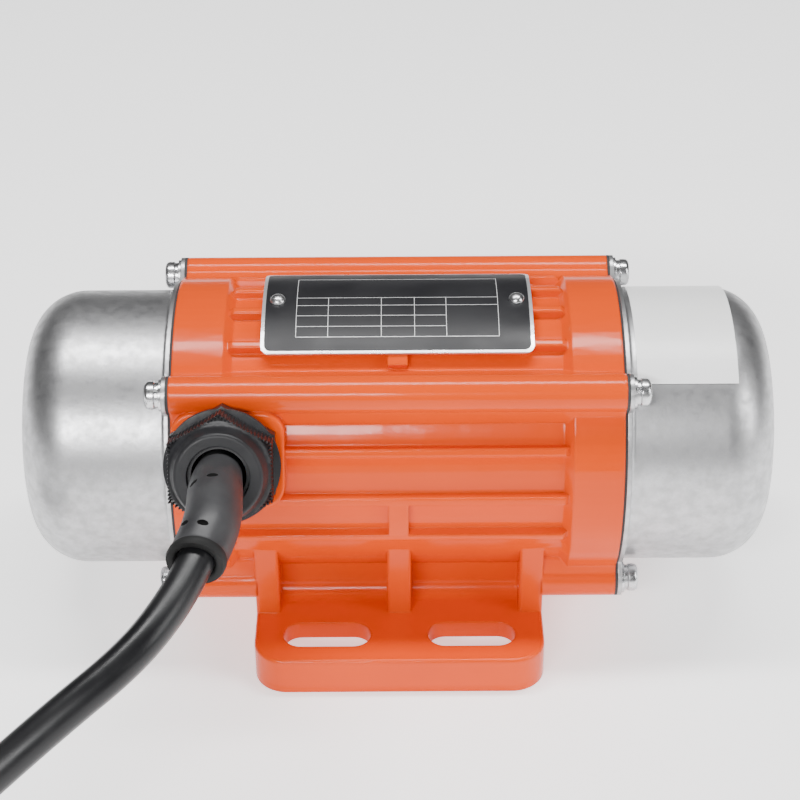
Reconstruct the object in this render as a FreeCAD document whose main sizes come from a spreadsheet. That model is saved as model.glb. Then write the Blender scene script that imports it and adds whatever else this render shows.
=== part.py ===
import FreeCAD, Part

import math
import os
import re

import Sketcher

# Vibration motor: a finned die-cast housing on two slotted feet, a single-phase rotor in ball
# bearings, an eccentric weight pair at each shaft end under a drawn steel cap, and a cable gland.
# Millimetres. X runs along the shaft, the gland side faces -Y, Z is up and the feet stand on Z = 0.

doc = FreeCAD.newDocument("vibration_motor")

# Driving dimensions
SIZES = [
    ("axis_height", 53.0),
    ("body_length", 125.0),
    ("shell_radius", 41.0),
    ("shell_wall", 5.0),
    ("shield_wall", 3.0),
    ("shield_seat_depth", 4.0),
    ("collar_rise", 2.6),
    ("collar_length", 14.0),
    ("collar_taper", 2.5),
    ("fin_rise", 2.7),
    ("fin_top_width", 2.4),
    ("fin_draft", 0.7),
    ("fin_end_slope", 2.5),
    ("fin_angle_inner", 7.5),
    ("fin_angle_outer", 24.5),
    ("fin_angle_side_upper", 66.0),
    ("fin_angle_side_middle", 85.5),
    ("fin_angle_side_lower", 103.0),
    ("cross_rib_width", 5.6),
    ("screw_reach", 4.8),
    ("boss_radius", 5.2),
    ("boss_flank", 7.4),
    ("foot_length", 83.4),
    ("foot_span", 116.6),
    ("foot_thickness", 11.5),
    ("foot_corner", 9.5),
    ("foot_web", 5.6),
    ("foot_wall", 4.0),
    ("slot_width", 10.5),
    ("slot_length", 25.3),
    ("slot_end_gap", 8.25),
    ("slot_edge_gap", 11.8),
    ("pedestal_half_width", 26.9),
    ("pedestal_cove", 5.0),
    ("side_rib_width", 7.0),
    ("side_rib_inset", 4.2),
    ("edge_round", 1.0),
    ("gland_angle", 67.5),
    ("gland_end_gap", 14.9),
    ("gland_pad_rise", 5.5),
    ("gland_pad_length", 31.0),
    ("gland_pad_width", 27.0),
    ("gland_pad_corner", 6.0),
    ("gland_thread_radius", 10.2),
    ("gland_bore_radius", 8.3),
    ("gland_seal_thickness", 1.0),
    ("gland_hex_width", 28.4),
    ("gland_hex_thickness", 4.5),
    ("gland_flange_radius", 15.9),
    ("gland_flange_thickness", 2.0),
    ("gland_nut_width", 27.4),
    ("gland_nut_length", 8.0),
    ("gland_dome_length", 4.5),
    ("gland_dome_radius", 11.8),
    ("gland_mouth_radius", 8.4),
    ("boot_radius", 7.4),
    ("cable_radius", 4.75),
    ("core_radius", 1.1),
    ("gasket_thickness", 0.8),
    ("sheet_thickness", 1.2),
    ("cap_inset", 1.0),
    ("cap_room", 10.0),
    ("cap_corner", 15.5),
    ("cap_rim_width", 2.6),
    ("cap_rim_bend", 1.2),
    ("label_thickness", 0.15),
    ("label_gap", 0.06),
    ("label_width", 28.0),
    ("label_start", 60.0),
    ("label_sweep", 100.0),
    ("screw_radius", 2.0),
    ("screw_depth", 10.0),
    ("head_radius", 4.0),
    ("head_height", 3.0),
    ("flat_washer_radius", 4.5),
    ("flat_washer_thickness", 0.8),
    ("spring_washer_radius", 3.7),
    ("spring_washer_thickness", 1.1),
    ("clearance", 0.1),
    ("fit", 0.02),
    ("plate_length", 76.0),
    ("plate_sweep", 52.0),
    ("plate_lean", 3.4),
    ("plate_thickness", 0.8),
    ("plate_corner", 2.5),
    ("rivet_pitch", 67.4),
    ("rivet_radius", 1.1),
    ("rivet_head_radius", 2.3),
    ("rivet_head_height", 1.0),
    ("stator_room", 85.0),
    ("stator_bore", 20.0),
    ("slot_count", 12.0),
    ("winding_slot_width", 5.0),
    ("winding_inset", 4.0),
    ("winding_inner_radius", 22.5),
    ("winding_overhang", 15.0),
    ("air_gap", 0.35),
    ("rotor_bar_count", 16.0),
    ("rotor_bar_radius", 1.5),
    ("end_ring_length", 6.0),
    ("bearing_outer_radius", 17.5),
    ("bearing_bore_radius", 7.5),
    ("bearing_width", 11.0),
    ("ball_radius", 2.95),
    ("ball_count", 8.0),
    ("race_clearance", 0.12),
    ("bearing_lip", 3.6),
    ("lip_bore_radius", 10.0),
    ("wave_washer_thickness", 0.8),
    ("rotor_seat_radius", 9.0),
    ("shaft_end_radius", 6.0),
    ("thread_radius", 5.0),
    ("sleeve_radius", 8.6),
    ("weight_play", 7.8),
    ("hub_radius", 12.0),
    ("weight_gap", 3.5),
    ("fixed_weight_thickness", 11.0),
    ("spacer_thickness", 2.0),
    ("loose_weight_thickness", 9.0),
    ("side_play", 0.15),
    ("end_washer_thickness", 1.5),
    ("nut_width", 17.0),
    ("nut_thickness", 5.5),
    ("thread_end", 1.5),
    ("key_width", 4.0),
    ("key_depth", 2.2),
    ("key_height", 3.9),
    ("set_screw_radius", 2.5),
]

# Sizes that follow from the driving ones
DERIVED = {
    "shaft_reach": "body_length / 2 + weight_gap + fixed_weight_thickness + spacer_thickness"
                   " + loose_weight_thickness + end_washer_thickness + nut_thickness + thread_end",
    "stator_radius": "shell_radius - shell_wall",
    "shield_radius": "shell_radius - shield_wall",
    "collar_radius": "shell_radius + collar_rise",
    "fin_radius": "shell_radius + fin_rise",
    "screw_circle": "shell_radius + screw_reach",
    "slot_pitch_along": "foot_length - slot_length - slot_end_gap * 2",
    "slot_pitch_across": "foot_span - slot_edge_gap * 2",
    "side_rib_reach": "shell_radius - side_rib_inset",
    "side_rib_pitch": "(foot_length - side_rib_width) / 2",
    "stator_length": "body_length - stator_room",
    "gland_offset": "body_length / 2 - gland_end_gap",
    "gland_pad_radius": "shell_radius + gland_pad_rise",
    "cap_radius": "shell_radius - cap_inset",
    "cap_rim_radius": "cap_radius + cap_rim_width",
    "cap_reach": "shaft_reach + cap_room",
    "winding_outer_radius": "stator_radius - winding_inset",
    "weight_radius": "cap_radius - sheet_thickness - weight_play",
}

sizes = doc.addObject("Spreadsheet::Sheet", "sizes")
for row, (alias, amount) in enumerate(SIZES, 1):
    sizes.set(f"A{row}", alias)
    sizes.set(f"B{row}", str(amount))
    sizes.setAlias(f"B{row}", alias)
doc.recompute()

NAMES = {alias for alias, amount in SIZES}
X_AXIS = FreeCAD.Vector(1, 0, 0)
Y_AXIS = FreeCAD.Vector(0, 1, 0)
Z_AXIS = FreeCAD.Vector(0, 0, 1)
ALONG_X = FreeCAD.Rotation(Y_AXIS, 90)
NO_TURN = FreeCAD.Rotation()
SIDES = {"left": 180, "right": 0}
CORNERS = [45, 135, 225, 315]


def formula(text):
    """Point each name in a formula at its cell, or at the rule that it follows."""
    def point(word):
        name = word[0]
        if name in DERIVED:
            return f"({formula(DERIVED[name])})"
        return f"sizes.{name}" if name in NAMES else name
    return re.sub(r"[a-z_]+", point, text)


def amount_of(text):
    """Work out a formula in the sheet's names."""
    found = sizes.evalExpression(formula(text))
    return float(getattr(found, "Value", found))


def bind(thing, **formulas):
    """Tie properties to formulas; x, y and z stand for the place."""
    for name, text in formulas.items():
        path = f"Placement.Base.{name}" if name in ("x", "y", "z") else name
        thing.setExpression(path, formula(text))
    return thing


def primitive(kind, name, turn=NO_TURN, **formulas):
    """Add a Part primitive whose sizes and place are formulas."""
    thing = doc.addObject(f"Part::{kind}", name)
    thing.Placement = FreeCAD.Placement(FreeCAD.Vector(), turn)
    return bind(thing, **formulas)


def rod(name, start, length, radius, **more):
    """Add a cylinder along X from a start."""
    return primitive("Cylinder", name, ALONG_X, x=start, Height=length, Radius=radius, **more)


def block(name, length, width, height, x="0", y="0", z="0"):
    """Add a box that is centred in X and Y, with its base at z."""
    return primitive("Box", name, Length=length, Width=width, Height=height,
                     x=f"{x} - ({length}) / 2", y=f"{y} - ({width}) / 2", z=z)


def fuse(name, pieces):
    """Join solids."""
    joined = doc.addObject("Part::MultiFuse", name)
    joined.Shapes = pieces
    return joined


def cut(name, base, tools):
    """Take one or more solids out of a base."""
    hollow = doc.addObject("Part::Cut", name)
    hollow.Base = base
    hollow.Tool = tools[0] if len(tools) == 1 else fuse(f"{name}_tools", tools)
    return hollow


def group(name, pieces):
    """Keep separate solids together in one node."""
    together = doc.addObject("Part::Compound", name)
    together.Links = pieces
    return together


def rounded(name, base, radius, wanted):
    """Round the edges of a solid that a test picks."""
    doc.recompute()
    soft = doc.addObject("Part::Fillet", name)
    soft.Base = base
    size = amount_of(radius)
    soft.Edges = [(number, size, size) for number, edge in enumerate(base.Shape.Edges, 1) if wanted(edge)]
    return soft


def is_along(edge, axis):
    """Tell whether an edge is straight and parallel to an axis."""
    return isinstance(edge.Curve, Part.Line) and edge.Curve.Direction.cross(axis).Length < 1e-6


def origin_plane(body, role):
    """Find an origin plane of a body by its role."""
    return next(item for item in body.Origin.OriginFeatures if item.Role == role)


def outline_sketch(body, name, role, points):
    """Draw a closed outline of straight lines whose corners are formulas."""
    sketch = body.newObject("Sketcher::SketchObject", name)
    sketch.AttachmentSupport = (origin_plane(body, role), [""])
    sketch.MapMode = "FlatFace"
    spots = [FreeCAD.Vector(amount_of(u), amount_of(v), 0) for u, v in points]
    for here, there in zip(spots, spots[1:] + spots[:1]):
        sketch.addGeometry(Part.LineSegment(here, there), False)
    count = len(points)
    for line in range(count):
        sketch.addConstraint(Sketcher.Constraint("Coincident", line, 2, (line + 1) % count, 1))
    for line, (u, v) in enumerate(points):
        for kind, text, axis in (("DistanceX", u, -2), ("DistanceY", v, -1)):
            if text == "0":
                sketch.addConstraint(Sketcher.Constraint("PointOnObject", line, 1, axis))
                continue
            number = sketch.addConstraint(Sketcher.Constraint(kind, -1, 1, line, 1, amount_of(text)))
            sketch.setExpression(f"Constraints[{number}]", formula(text))
    return sketch


def turned(name, points):
    """Turn an outline of (along X, radius) corners about the X axis."""
    body = doc.addObject("PartDesign::Body", name)
    sketch = outline_sketch(body, f"{name}_outline", "XZ_Plane", points)
    spin = body.newObject("PartDesign::Revolution", f"{name}_turn")
    spin.Profile = sketch
    spin.ReferenceAxis = (sketch, ["H_Axis"])
    spin.Angle = 360
    body.Tip = spin
    return body


def ring(name, start, end, inner, outer):
    """Turn a plain ring."""
    return turned(name, [(start, inner), (end, inner), (end, outer), (start, outer)])


def round_turned(body, radius, along, reach):
    """Round the circular edge of a turned body at a place and radius."""
    doc.recompute()
    x, r = amount_of(along), amount_of(reach)
    names = []
    for number, edge in enumerate(body.Shape.Edges, 1):
        curve = edge.Curve
        if isinstance(curve, Part.Circle) and abs(curve.Center.x - x) < 0.01 and abs(curve.Radius - r) < 0.01:
            names.append(f"Edge{number}")
    base = body.Tip
    soft = body.newObject("PartDesign::Fillet", f"{body.Name}_round_{len(body.Group)}")
    soft.Base = (base, names)
    soft.setExpression("Radius", formula(radius))
    body.Tip = soft
    return body


def pad(name, role, points, length):
    """Pad an outline evenly to both sides of an origin plane."""
    body = doc.addObject("PartDesign::Body", name)
    raised = body.newObject("PartDesign::Pad", f"{name}_pad")
    raised.Profile = outline_sketch(body, f"{name}_outline", role, points)
    raised.Midplane = True
    raised.setExpression("Length", formula(length))
    body.Tip = raised
    return body


def hexagon(name, start, length, width):
    """Add a hexagonal bar along X, given its width across flats."""
    return primitive("Prism", name, ALONG_X, Polygon="6", Height=length, x=start,
                     Circumradius=f"({width}) / 2 / cos(30)")


def sector_turn(first):
    """Give the turn that starts a part cylinder along X at an angle from the top, towards -Y."""
    return FreeCAD.Rotation(X_AXIS, first - 180).multiply(ALONG_X)


def place(thing, label, turn=NO_TURN, **where):
    """Give a finished sub-part its label and its place."""
    thing.Label = label
    thing.Placement = FreeCAD.Placement(FreeCAD.Vector(), turn)
    bind(thing, **where)
    parts.append(thing)
    return thing


def on_axis(thing, label, side="right", about=0):
    """Place a sub-part on the shaft axis, facing its side of the motor."""
    turn = FreeCAD.Rotation(Z_AXIS, SIDES[side]).multiply(FreeCAD.Rotation(X_AXIS, about))
    return place(thing, label, turn, z="axis_height")


def code_part(label, shape):
    """Add a sub-part whose shape is worked out in code, where it lies."""
    thing = doc.addObject("Part::Feature", f"{label}_shape")
    thing.Label = label
    thing.Shape = shape
    thing.Placement = shape.Placement
    parts.append(thing)
    return thing


def copies_at(name, source, angles, radius):
    """Repeat a solid round the X axis at a radius, one copy at each angle from the top."""
    links = []
    for number, angle in enumerate(angles):
        link = doc.addObject("App::Link", f"{name}_{number}")
        link.LinkedObject = source
        link.LinkTransform = True
        reach = FreeCAD.Rotation(X_AXIS, angle).multVec(Z_AXIS * amount_of(radius))
        link.Placement = FreeCAD.Placement(reach, FreeCAD.Rotation(X_AXIS, angle))
        links.append(link)
    return links


parts = []
half_body = "body_length / 2"
collar_start = f"({half_body} - collar_length)"


# Housing: shell, end collars, screw bosses and fins

def tilted(thing, angle):
    """Turn a solid of the shell about the shaft axis, by a formula in degrees from the top."""
    thing.Placement = FreeCAD.Placement(FreeCAD.Vector(), FreeCAD.Rotation(X_AXIS, 1))
    bind(thing, z="axis_height")
    thing.setExpression("Placement.Rotation.Angle", formula(angle))
    return thing


def fin(number, angle):
    """Add one drafted fin with sloping ends and rounded top edges."""
    foot = "shell_radius - 3"
    top_half = f"({collar_start} - fin_end_slope)"
    wedge = primitive(
        "Wedge", f"fin_wedge_{number}", FreeCAD.Rotation(X_AXIS, 90),
        Ymin=foot, Ymax="fin_radius",
        Xmin=f"-{collar_start} - 3", Xmax=f"{collar_start} + 3",
        X2min=f"-{top_half}", X2max=top_half,
        Zmin="-fin_top_width / 2 - fin_draft", Zmax="fin_top_width / 2 + fin_draft",
        Z2min="-fin_top_width / 2", Z2max="fin_top_width / 2",
    )
    top = amount_of("fin_radius")
    soft = rounded(f"fin_soft_{number}", wedge, "edge_round * 0.7",
                   lambda edge: min(vertex.Point.z for vertex in edge.Vertexes) > top - 0.01)
    return tilted(soft, angle)


def boss_rib(number, angle):
    """Add one full-length screw boss with sloping flanks."""
    flanks = pad(f"boss_flanks_{number}", "YZ_Plane", [
        ("-boss_flank", "shell_radius - 4"), ("boss_flank", "shell_radius - 4"),
        ("boss_flank", "shell_radius"), ("boss_radius", "screw_circle - 0.4"),
        ("-boss_radius", "screw_circle - 0.4"), ("-boss_flank", "shell_radius"),
    ], "body_length")
    crown = rod(f"boss_crown_{number}", f"-{half_body}", "body_length", "boss_radius", z="screw_circle")
    return tilted(fuse(f"boss_{number}", [flanks, crown]), str(angle))


def screw_hole(number, angle, start):
    """Add the cutter of one tapped hole in a boss."""
    return rod(f"screw_hole_{number}", start, "screw_depth + 2", "screw_radius + clearance",
               y=f"-screw_circle * sin({angle})", z=f"axis_height + screw_circle * cos({angle})")


def collar(side, heading):
    """Add one raised end collar with a tapered inner edge."""
    band = turned(f"{side}_collar", [
        (f"{collar_start} - collar_taper", "shell_radius - 2"), (half_body, "shell_radius - 2"),
        (half_body, "collar_radius"), (collar_start, "collar_radius"),
        (f"{collar_start} - collar_taper", "shell_radius"),
    ])
    band.Placement = FreeCAD.Placement(FreeCAD.Vector(), FreeCAD.Rotation(Z_AXIS, heading))
    return bind(band, z="axis_height")


def cross_rib(number, first, sweep):
    """Add a rib across the fins at mid length, from an angle from the top round towards -Y."""
    sector = primitive("Cylinder", f"cross_rib_{number}", sector_turn(amount_of(first)),
                       Height="cross_rib_width", Radius="collar_radius", Angle=sweep)
    return bind(sector, x="-cross_rib_width / 2", z="axis_height")


def foot_pair():
    """Add the two foot flanges as one slab with rounded corners and edges."""
    slab = block("foot_slab", "foot_length", "foot_span", "foot_thickness")
    corners = rounded("foot_corners", slab, "foot_corner", lambda edge: is_along(edge, Z_AXIS))
    top = amount_of("foot_thickness")
    return rounded("foot_edges", corners, "edge_round",
                   lambda edge: min(vertex.Point.z for vertex in edge.Vertexes) > top - 0.01)


def side_rib(number, x, heading):
    """Add one upright rib between the shell and a foot."""
    upright = block(f"side_rib_{number}", "side_rib_width", "side_rib_reach",
                    "axis_height - foot_thickness + 4 - shell_radius * 0.4",
                    x=x, y=f"{heading} * side_rib_reach / 2", z="foot_thickness - 4")
    reach = amount_of("side_rib_reach")
    return rounded(f"side_rib_soft_{number}", upright, "edge_round",
                   lambda edge: is_along(edge, Z_AXIS) and abs(edge.Vertexes[0].Point.y) > reach - 0.01)


def gland_frame():
    """Give the turn whose X points out along the gland and whose Z points up its face."""
    lean = math.radians(amount_of("gland_angle"))
    out = FreeCAD.Vector(0, -math.sin(lean), math.cos(lean))
    up = FreeCAD.Vector(0, math.cos(lean), math.sin(lean))
    return FreeCAD.Rotation(out, X_AXIS, up, "XYZ")


def gland_pad():
    """Add the flat seat of the gland on the shell."""
    seat = primitive("Box", "gland_seat", Length="gland_pad_radius - 30", Width="gland_pad_length",
                     Height="gland_pad_width", x="30", y="-gland_pad_length / 2", z="-gland_pad_width / 2")
    corners = rounded("gland_seat_corners", seat, "gland_pad_corner", lambda edge: is_along(edge, X_AXIS))
    face = amount_of("gland_pad_radius")
    soft = rounded("gland_seat_edges", corners, "edge_round",
                   lambda edge: min(vertex.Point.x for vertex in edge.Vertexes) > face - 0.01)
    soft.Placement = FreeCAD.Placement(FreeCAD.Vector(), gland_frame())
    return bind(soft, x="-gland_offset + 1", z="axis_height")


def slot_cutter(number, x, y):
    """Add the stadium-shaped cutter of one mounting slot."""
    straight = "slot_length - slot_width"
    middle = block(f"slot_middle_{number}", straight, "slot_width", "foot_thickness + 2", x=x, y=y, z="-1")
    ends = [primitive("Cylinder", f"slot_end_{number}_{end}", Radius="slot_width / 2",
                      Height="foot_thickness + 2", x=f"{x} + {end} * ({straight}) / 2", y=y, z="-1")
            for end in (-1, 1)]
    return fuse(f"slot_{number}", [middle] + ends)


def housing():
    """Build the die-cast housing."""
    pedestal = block("pedestal", "side_rib_pitch * 2", "pedestal_half_width * 2",
                     "axis_height - foot_thickness + 4 - shell_radius * 0.6", z="foot_thickness - 4")
    base = fuse("base", [foot_pair(), pedestal])
    level = amount_of("foot_thickness")
    wall = amount_of("pedestal_half_width")

    def meets_foot(edge):
        spot = edge.Vertexes[0].Point
        return is_along(edge, X_AXIS) and abs(spot.z - level) < 0.01 and abs(abs(spot.y) - wall) < 0.01

    coved = rounded("coved_base", base, "pedestal_cove", meets_foot)
    outer = [coved, rod("shell", f"-{half_body}", "body_length", "shell_radius", z="axis_height")]
    outer += [collar(side, heading) for side, heading in SIDES.items()]
    for number, angle in enumerate(CORNERS):
        rail = boss_rib(number, angle)
        if 90 < angle < 270:
            gap = block(f"boss_gap_{number}", "side_rib_pitch * 2 + side_rib_width - edge_round", "foot_span",
                        "axis_height")
            rail = cut(f"boss_rib_ends_{number}", rail, [gap])
        outer.append(rail)
    fins = ["fin_angle_inner", "fin_angle_outer", "fin_angle_side_upper",
            "fin_angle_side_middle", "fin_angle_side_lower"]
    outer += [fin(number, angle) for number, angle in enumerate(fins)]
    outer += [fin(number, f"360 - {angle}") for number, angle in enumerate(fins, len(fins))]
    pocket = "fin_angle_side_lower - fin_angle_side_middle"
    outer.append(cross_rib("top", "-fin_angle_outer - 9", "(fin_angle_outer + 9) * 2"))
    outer.append(cross_rib("front", "fin_angle_side_middle", pocket))
    outer.append(cross_rib("back", "-fin_angle_side_lower", pocket))
    rib_places = [f"{step} * side_rib_pitch" for step in (-1, 0, 1)]
    outer += [side_rib(f"{column}_{row}", x, heading)
              for column, x in enumerate(rib_places) for row, heading in enumerate((-1, 1))]
    outer.append(gland_pad())
    lean = FreeCAD.Rotation(X_AXIS, amount_of("plate_lean"))
    outer += [primitive("Cylinder", f"rivet_seat_{number}", lean, Radius="rivet_head_radius + 1",
                        Height="fin_radius - shell_radius + 1.7", x=f"{end} * rivet_pitch / 2",
                        y="-(shell_radius - 2) * sin(plate_lean)",
                        z="axis_height + (shell_radius - 2) * cos(plate_lean)")
              for number, end in enumerate((-1, 1))]
    casting = fuse("casting", outer)

    hollows = [rod("stator_bore_cut", f"-{half_body} - 1", "body_length + 2", "stator_radius",
                   z="axis_height")]
    hollows += [rod(f"shield_seat_{number}", start, "shield_seat_depth + 1", "shield_radius", z="axis_height")
                for number, start in enumerate((f"-{half_body} - 1", f"{half_body} - shield_seat_depth"))]
    hollows += [slot_cutter(f"{column}_{row}", f"{column} * slot_pitch_along / 2",
                            f"{row} * slot_pitch_across / 2")
                for column in (-1, 1) for row in (-1, 1)]
    inner_length = "foot_length - foot_wall * 2"
    outer_edge = "(foot_span / 2 - foot_wall)"
    inner_edge = "(pedestal_half_width + 2)"
    hollows += [block(f"foot_recess_{row}", inner_length, f"{outer_edge} - {inner_edge}",
                      "foot_thickness - foot_web + 1", y=f"{row} * ({outer_edge} + {inner_edge}) / 2", z="-1")
                for row in (-1, 1)]
    hollows += [block(f"pedestal_recess_{row}", f"({inner_length} - side_rib_width * 0.7) / 2",
                      "(pedestal_half_width - foot_wall) * 2", "foot_thickness - foot_web + 1",
                      x=f"{row} * ({inner_length} + side_rib_width * 0.7) / 4", z="-1") for row in (-1, 1)]
    bore = rod("gland_bore_cut", "20", "gland_pad_radius", "gland_thread_radius + clearance")
    bore.Placement = FreeCAD.Placement(FreeCAD.Vector(), gland_frame().multiply(ALONG_X))
    bind(bore, x="-gland_offset", y="-20 * sin(gland_angle)", z="axis_height + 20 * cos(gland_angle)")
    hollows.append(bore)
    for end, start in enumerate((f"-{half_body} - 1", f"{half_body} - screw_depth - 1")):
        hollows += [screw_hole(f"{number}_{end}", angle, start) for number, angle in enumerate(CORNERS)]
    hollows += [primitive("Cylinder", f"rivet_hole_{number}", lean, Radius="rivet_radius + fit",
                          Height="10", x=f"{end} * rivet_pitch / 2",
                          y="-(fin_radius - 6) * sin(plate_lean)",
                          z="axis_height + (fin_radius - 6) * cos(plate_lean)")
                for number, end in enumerate((-1, 1))]
    doc.recompute()
    body = cut("housing_cut", casting, hollows)
    body.Label = "housing"
    parts.append(body)


# Steel end caps with their gaskets, screws and washers

face = f"({half_body} + gasket_thickness)"
rim_face = f"({face} + sheet_thickness)"


def ears(name, start, thickness, hole):
    """Add the four-eared outline of a rim or gasket, with its screw holes as cutters."""
    lugs = [rod(f"{name}_lug_{angle}", start, thickness, "boss_radius",
                y=f"-screw_circle * sin({angle})", z=f"screw_circle * cos({angle})") for angle in CORNERS]
    roots = []
    for angle in CORNERS:
        root = primitive("Box", f"{name}_root_{angle}", FreeCAD.Rotation(X_AXIS, angle), Length=thickness,
                         Width="boss_radius * 2", Height="screw_circle - cap_radius",
                         x=start,
                         y=f"-cap_radius * sin({angle}) - boss_radius * cos({angle})",
                         z=f"cap_radius * cos({angle}) - boss_radius * sin({angle})")
        roots.append(root)
    holes = [rod(f"{name}_hole_{angle}", f"{start} - 1", f"{thickness} + 2", hole,
                 y=f"-screw_circle * sin({angle})", z=f"screw_circle * cos({angle})") for angle in CORNERS]
    return lugs + roots, holes


def cap(side):
    """Build one drawn cap: a rim with ears, a wall and a crowned end."""
    inner, end = "(cap_radius - sheet_thickness)", "cap_reach"
    shell = turned(f"{side}_cap_shell", [
        (face, inner), (f"{end} - sheet_thickness", inner), (f"{end} - sheet_thickness", "0"),
        (end, "0"), (end, "cap_radius"), (rim_face, "cap_radius"),
        (rim_face, "cap_rim_radius"), (face, "cap_rim_radius"),
    ])
    round_turned(shell, "cap_corner", end, "cap_radius")
    round_turned(shell, "cap_corner - sheet_thickness", f"{end} - sheet_thickness", inner)
    round_turned(shell, "cap_rim_bend", rim_face, "cap_radius")
    round_turned(shell, "cap_rim_bend", face, inner)
    lugs, holes = ears(f"{side}_cap", face, "sheet_thickness", "screw_radius + clearance * 2")
    mouth = rod(f"{side}_cap_mouth", f"{face} - 1", "sheet_thickness + 2", "cap_radius - 0.5")
    rim = cut(f"{side}_cap_lugs", fuse(f"{side}_cap_lug_set", lugs), [mouth])
    on_axis(cut(f"{side}_cap_part", fuse(f"{side}_cap_whole", [shell, rim]), holes), f"{side}_cap", side)


def gasket(side):
    """Build the flat gasket between the housing and a cap."""
    thickness = "gasket_thickness"
    plain = rod(f"{side}_gasket_disc", half_body, thickness, "cap_rim_radius")
    lugs, holes = ears(f"{side}_gasket", half_body, thickness, "screw_radius + clearance * 2")
    mouth = rod(f"{side}_gasket_mouth", f"{half_body} - 1", f"{thickness} + 2",
                "cap_radius - sheet_thickness - cap_rim_bend")
    whole = fuse(f"{side}_gasket_whole", [plain] + lugs)
    on_axis(cut(f"{side}_gasket_part", whole, [mouth] + holes), f"{side}_cap_gasket", side)


def repeated(name, source, label, side):
    """Set one copy of a fastener at each corner as one node."""
    on_axis(group(f"{name}_set", copies_at(name, source, CORNERS, "screw_circle")), label, side)


def fasteners():
    """Build the cap screws and washers."""
    flat_end = f"({rim_face} + flat_washer_thickness)"
    spring_end = f"({flat_end} + spring_washer_thickness)"
    washer_bore = "screw_radius + clearance"
    flat = ring("flat_washer", rim_face, flat_end, washer_bore, "flat_washer_radius")
    spring = ring("spring_washer_ring", flat_end, spring_end, washer_bore, "spring_washer_radius")
    gap = block("spring_washer_gap", "spring_washer_thickness + 1", "screw_radius * 0.3",
                "spring_washer_radius + 1", x=f"{flat_end} + spring_washer_thickness / 2")
    split = cut("spring_washer", spring, [gap])
    head_end = f"({spring_end} + head_height)"
    screw = turned("screw_blank", [
        (f"{half_body} - screw_depth + 1", "0"), (head_end, "0"), (head_end, "head_radius"),
        (spring_end, "head_radius"), (spring_end, "screw_radius"),
        (f"{half_body} - screw_depth + 1", "screw_radius"),
    ])
    round_turned(screw, "head_height * 0.45", head_end, "head_radius")
    recess = [primitive("Box", f"screw_cross_{turn}", FreeCAD.Rotation(X_AXIS, turn),
                        Length="head_height * 0.6", Width="head_radius * 1.1", Height="screw_radius * 0.4",
                        x=f"{head_end} - head_height * 0.5",
                        y=f"-head_radius * 0.55 * cos({turn}) + screw_radius * 0.2 * sin({turn})",
                        z=f"-head_radius * 0.55 * sin({turn}) - screw_radius * 0.2 * cos({turn})")
              for turn in (20, 110)]
    crossed = cut("screw", screw, recess)
    for side in SIDES:
        repeated(f"{side}_flat", flat, f"{side}_flat_washers", side)
        repeated(f"{side}_spring", split, f"{side}_spring_washers", side)
        repeated(f"{side}_screw", crossed, f"{side}_cap_screws", side)


# End shields and bearings

shield_start = f"({half_body} - shield_seat_depth)"
bearing_end = f"({half_body} - bearing_lip)"


def bearing_place(side):
    """Give the inner and outer end of a bearing along the shaft."""
    end = f"({bearing_end} - wave_washer_thickness)" if side == "right" else bearing_end
    return f"({end} - bearing_width)", end


def end_shield(side):
    """Build one end shield, whose lip holds the bearing from outside."""
    hub = "(bearing_outer_radius + 4.5)"
    skin = "(shield_radius - fit)"
    plate = turned(f"{side}_shield", [
        (shield_start, "stator_radius - 2"), (f"{half_body} - 5", "stator_radius - 2"),
        (f"{half_body} - 5", hub), (f"{bearing_end} - bearing_width - 1", hub),
        (f"{bearing_end} - bearing_width - 1", "bearing_outer_radius + fit"),
        (bearing_end, "bearing_outer_radius + fit"), (bearing_end, "lip_bore_radius"),
        (half_body, "lip_bore_radius"), (half_body, skin), (shield_start, skin),
    ])
    on_axis(plate, f"{side}_end_shield", side)


def bearing(side):
    """Build the two races, the ball set and the cage of one ball bearing."""
    start, end = bearing_place(side)
    middle = f"({start} + bearing_width / 2)"
    pitch = "((bearing_outer_radius + bearing_bore_radius) / 2)"
    groove = "ball_radius + race_clearance"
    step = "(ball_radius * 0.65)"
    for race, inner, outer in (
        ("outer", f"{pitch} + {step}", "bearing_outer_radius"),
        ("inner", "bearing_bore_radius + fit", f"{pitch} - {step}"),
    ):
        blank = ring(f"{side}_{race}_blank", start, end, inner, outer)
        track = primitive("Torus", f"{side}_{race}_track", ALONG_X, x=middle, Radius1=pitch, Radius2=groove)
        on_axis(cut(f"{side}_{race}_race", blank, [track]), f"{side}_bearing_{race}_ring", side)

    count = int(amount_of("ball_count"))
    turns = [360 / count * number for number in range(count)]
    ball = primitive("Sphere", f"{side}_ball", Radius="ball_radius", x=middle)
    pocket = primitive("Sphere", f"{side}_pocket", Radius="ball_radius + race_clearance", x=middle)
    balls = group(f"{side}_ball_set", copies_at(f"{side}_ball_copy", ball, turns, pitch))
    on_axis(balls, f"{side}_bearing_balls", side)
    band = ring(f"{side}_cage_band", f"{middle} - ball_radius * 1.15", f"{middle} + ball_radius * 1.15",
                f"{pitch} - 0.6", f"{pitch} + 0.6")
    on_axis(cut(f"{side}_cage", band, copies_at(f"{side}_pocket_copy", pocket, turns, pitch)),
            f"{side}_bearing_cage", side)


def wave_washer():
    """Build the preload washer behind the right bearing."""
    start, end = bearing_place("right")
    on_axis(ring("wave_washer_ring", end, bearing_end, "bearing_outer_radius - 4",
                 "bearing_outer_radius - 0.3"), "wave_washer")


# Stator

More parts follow.
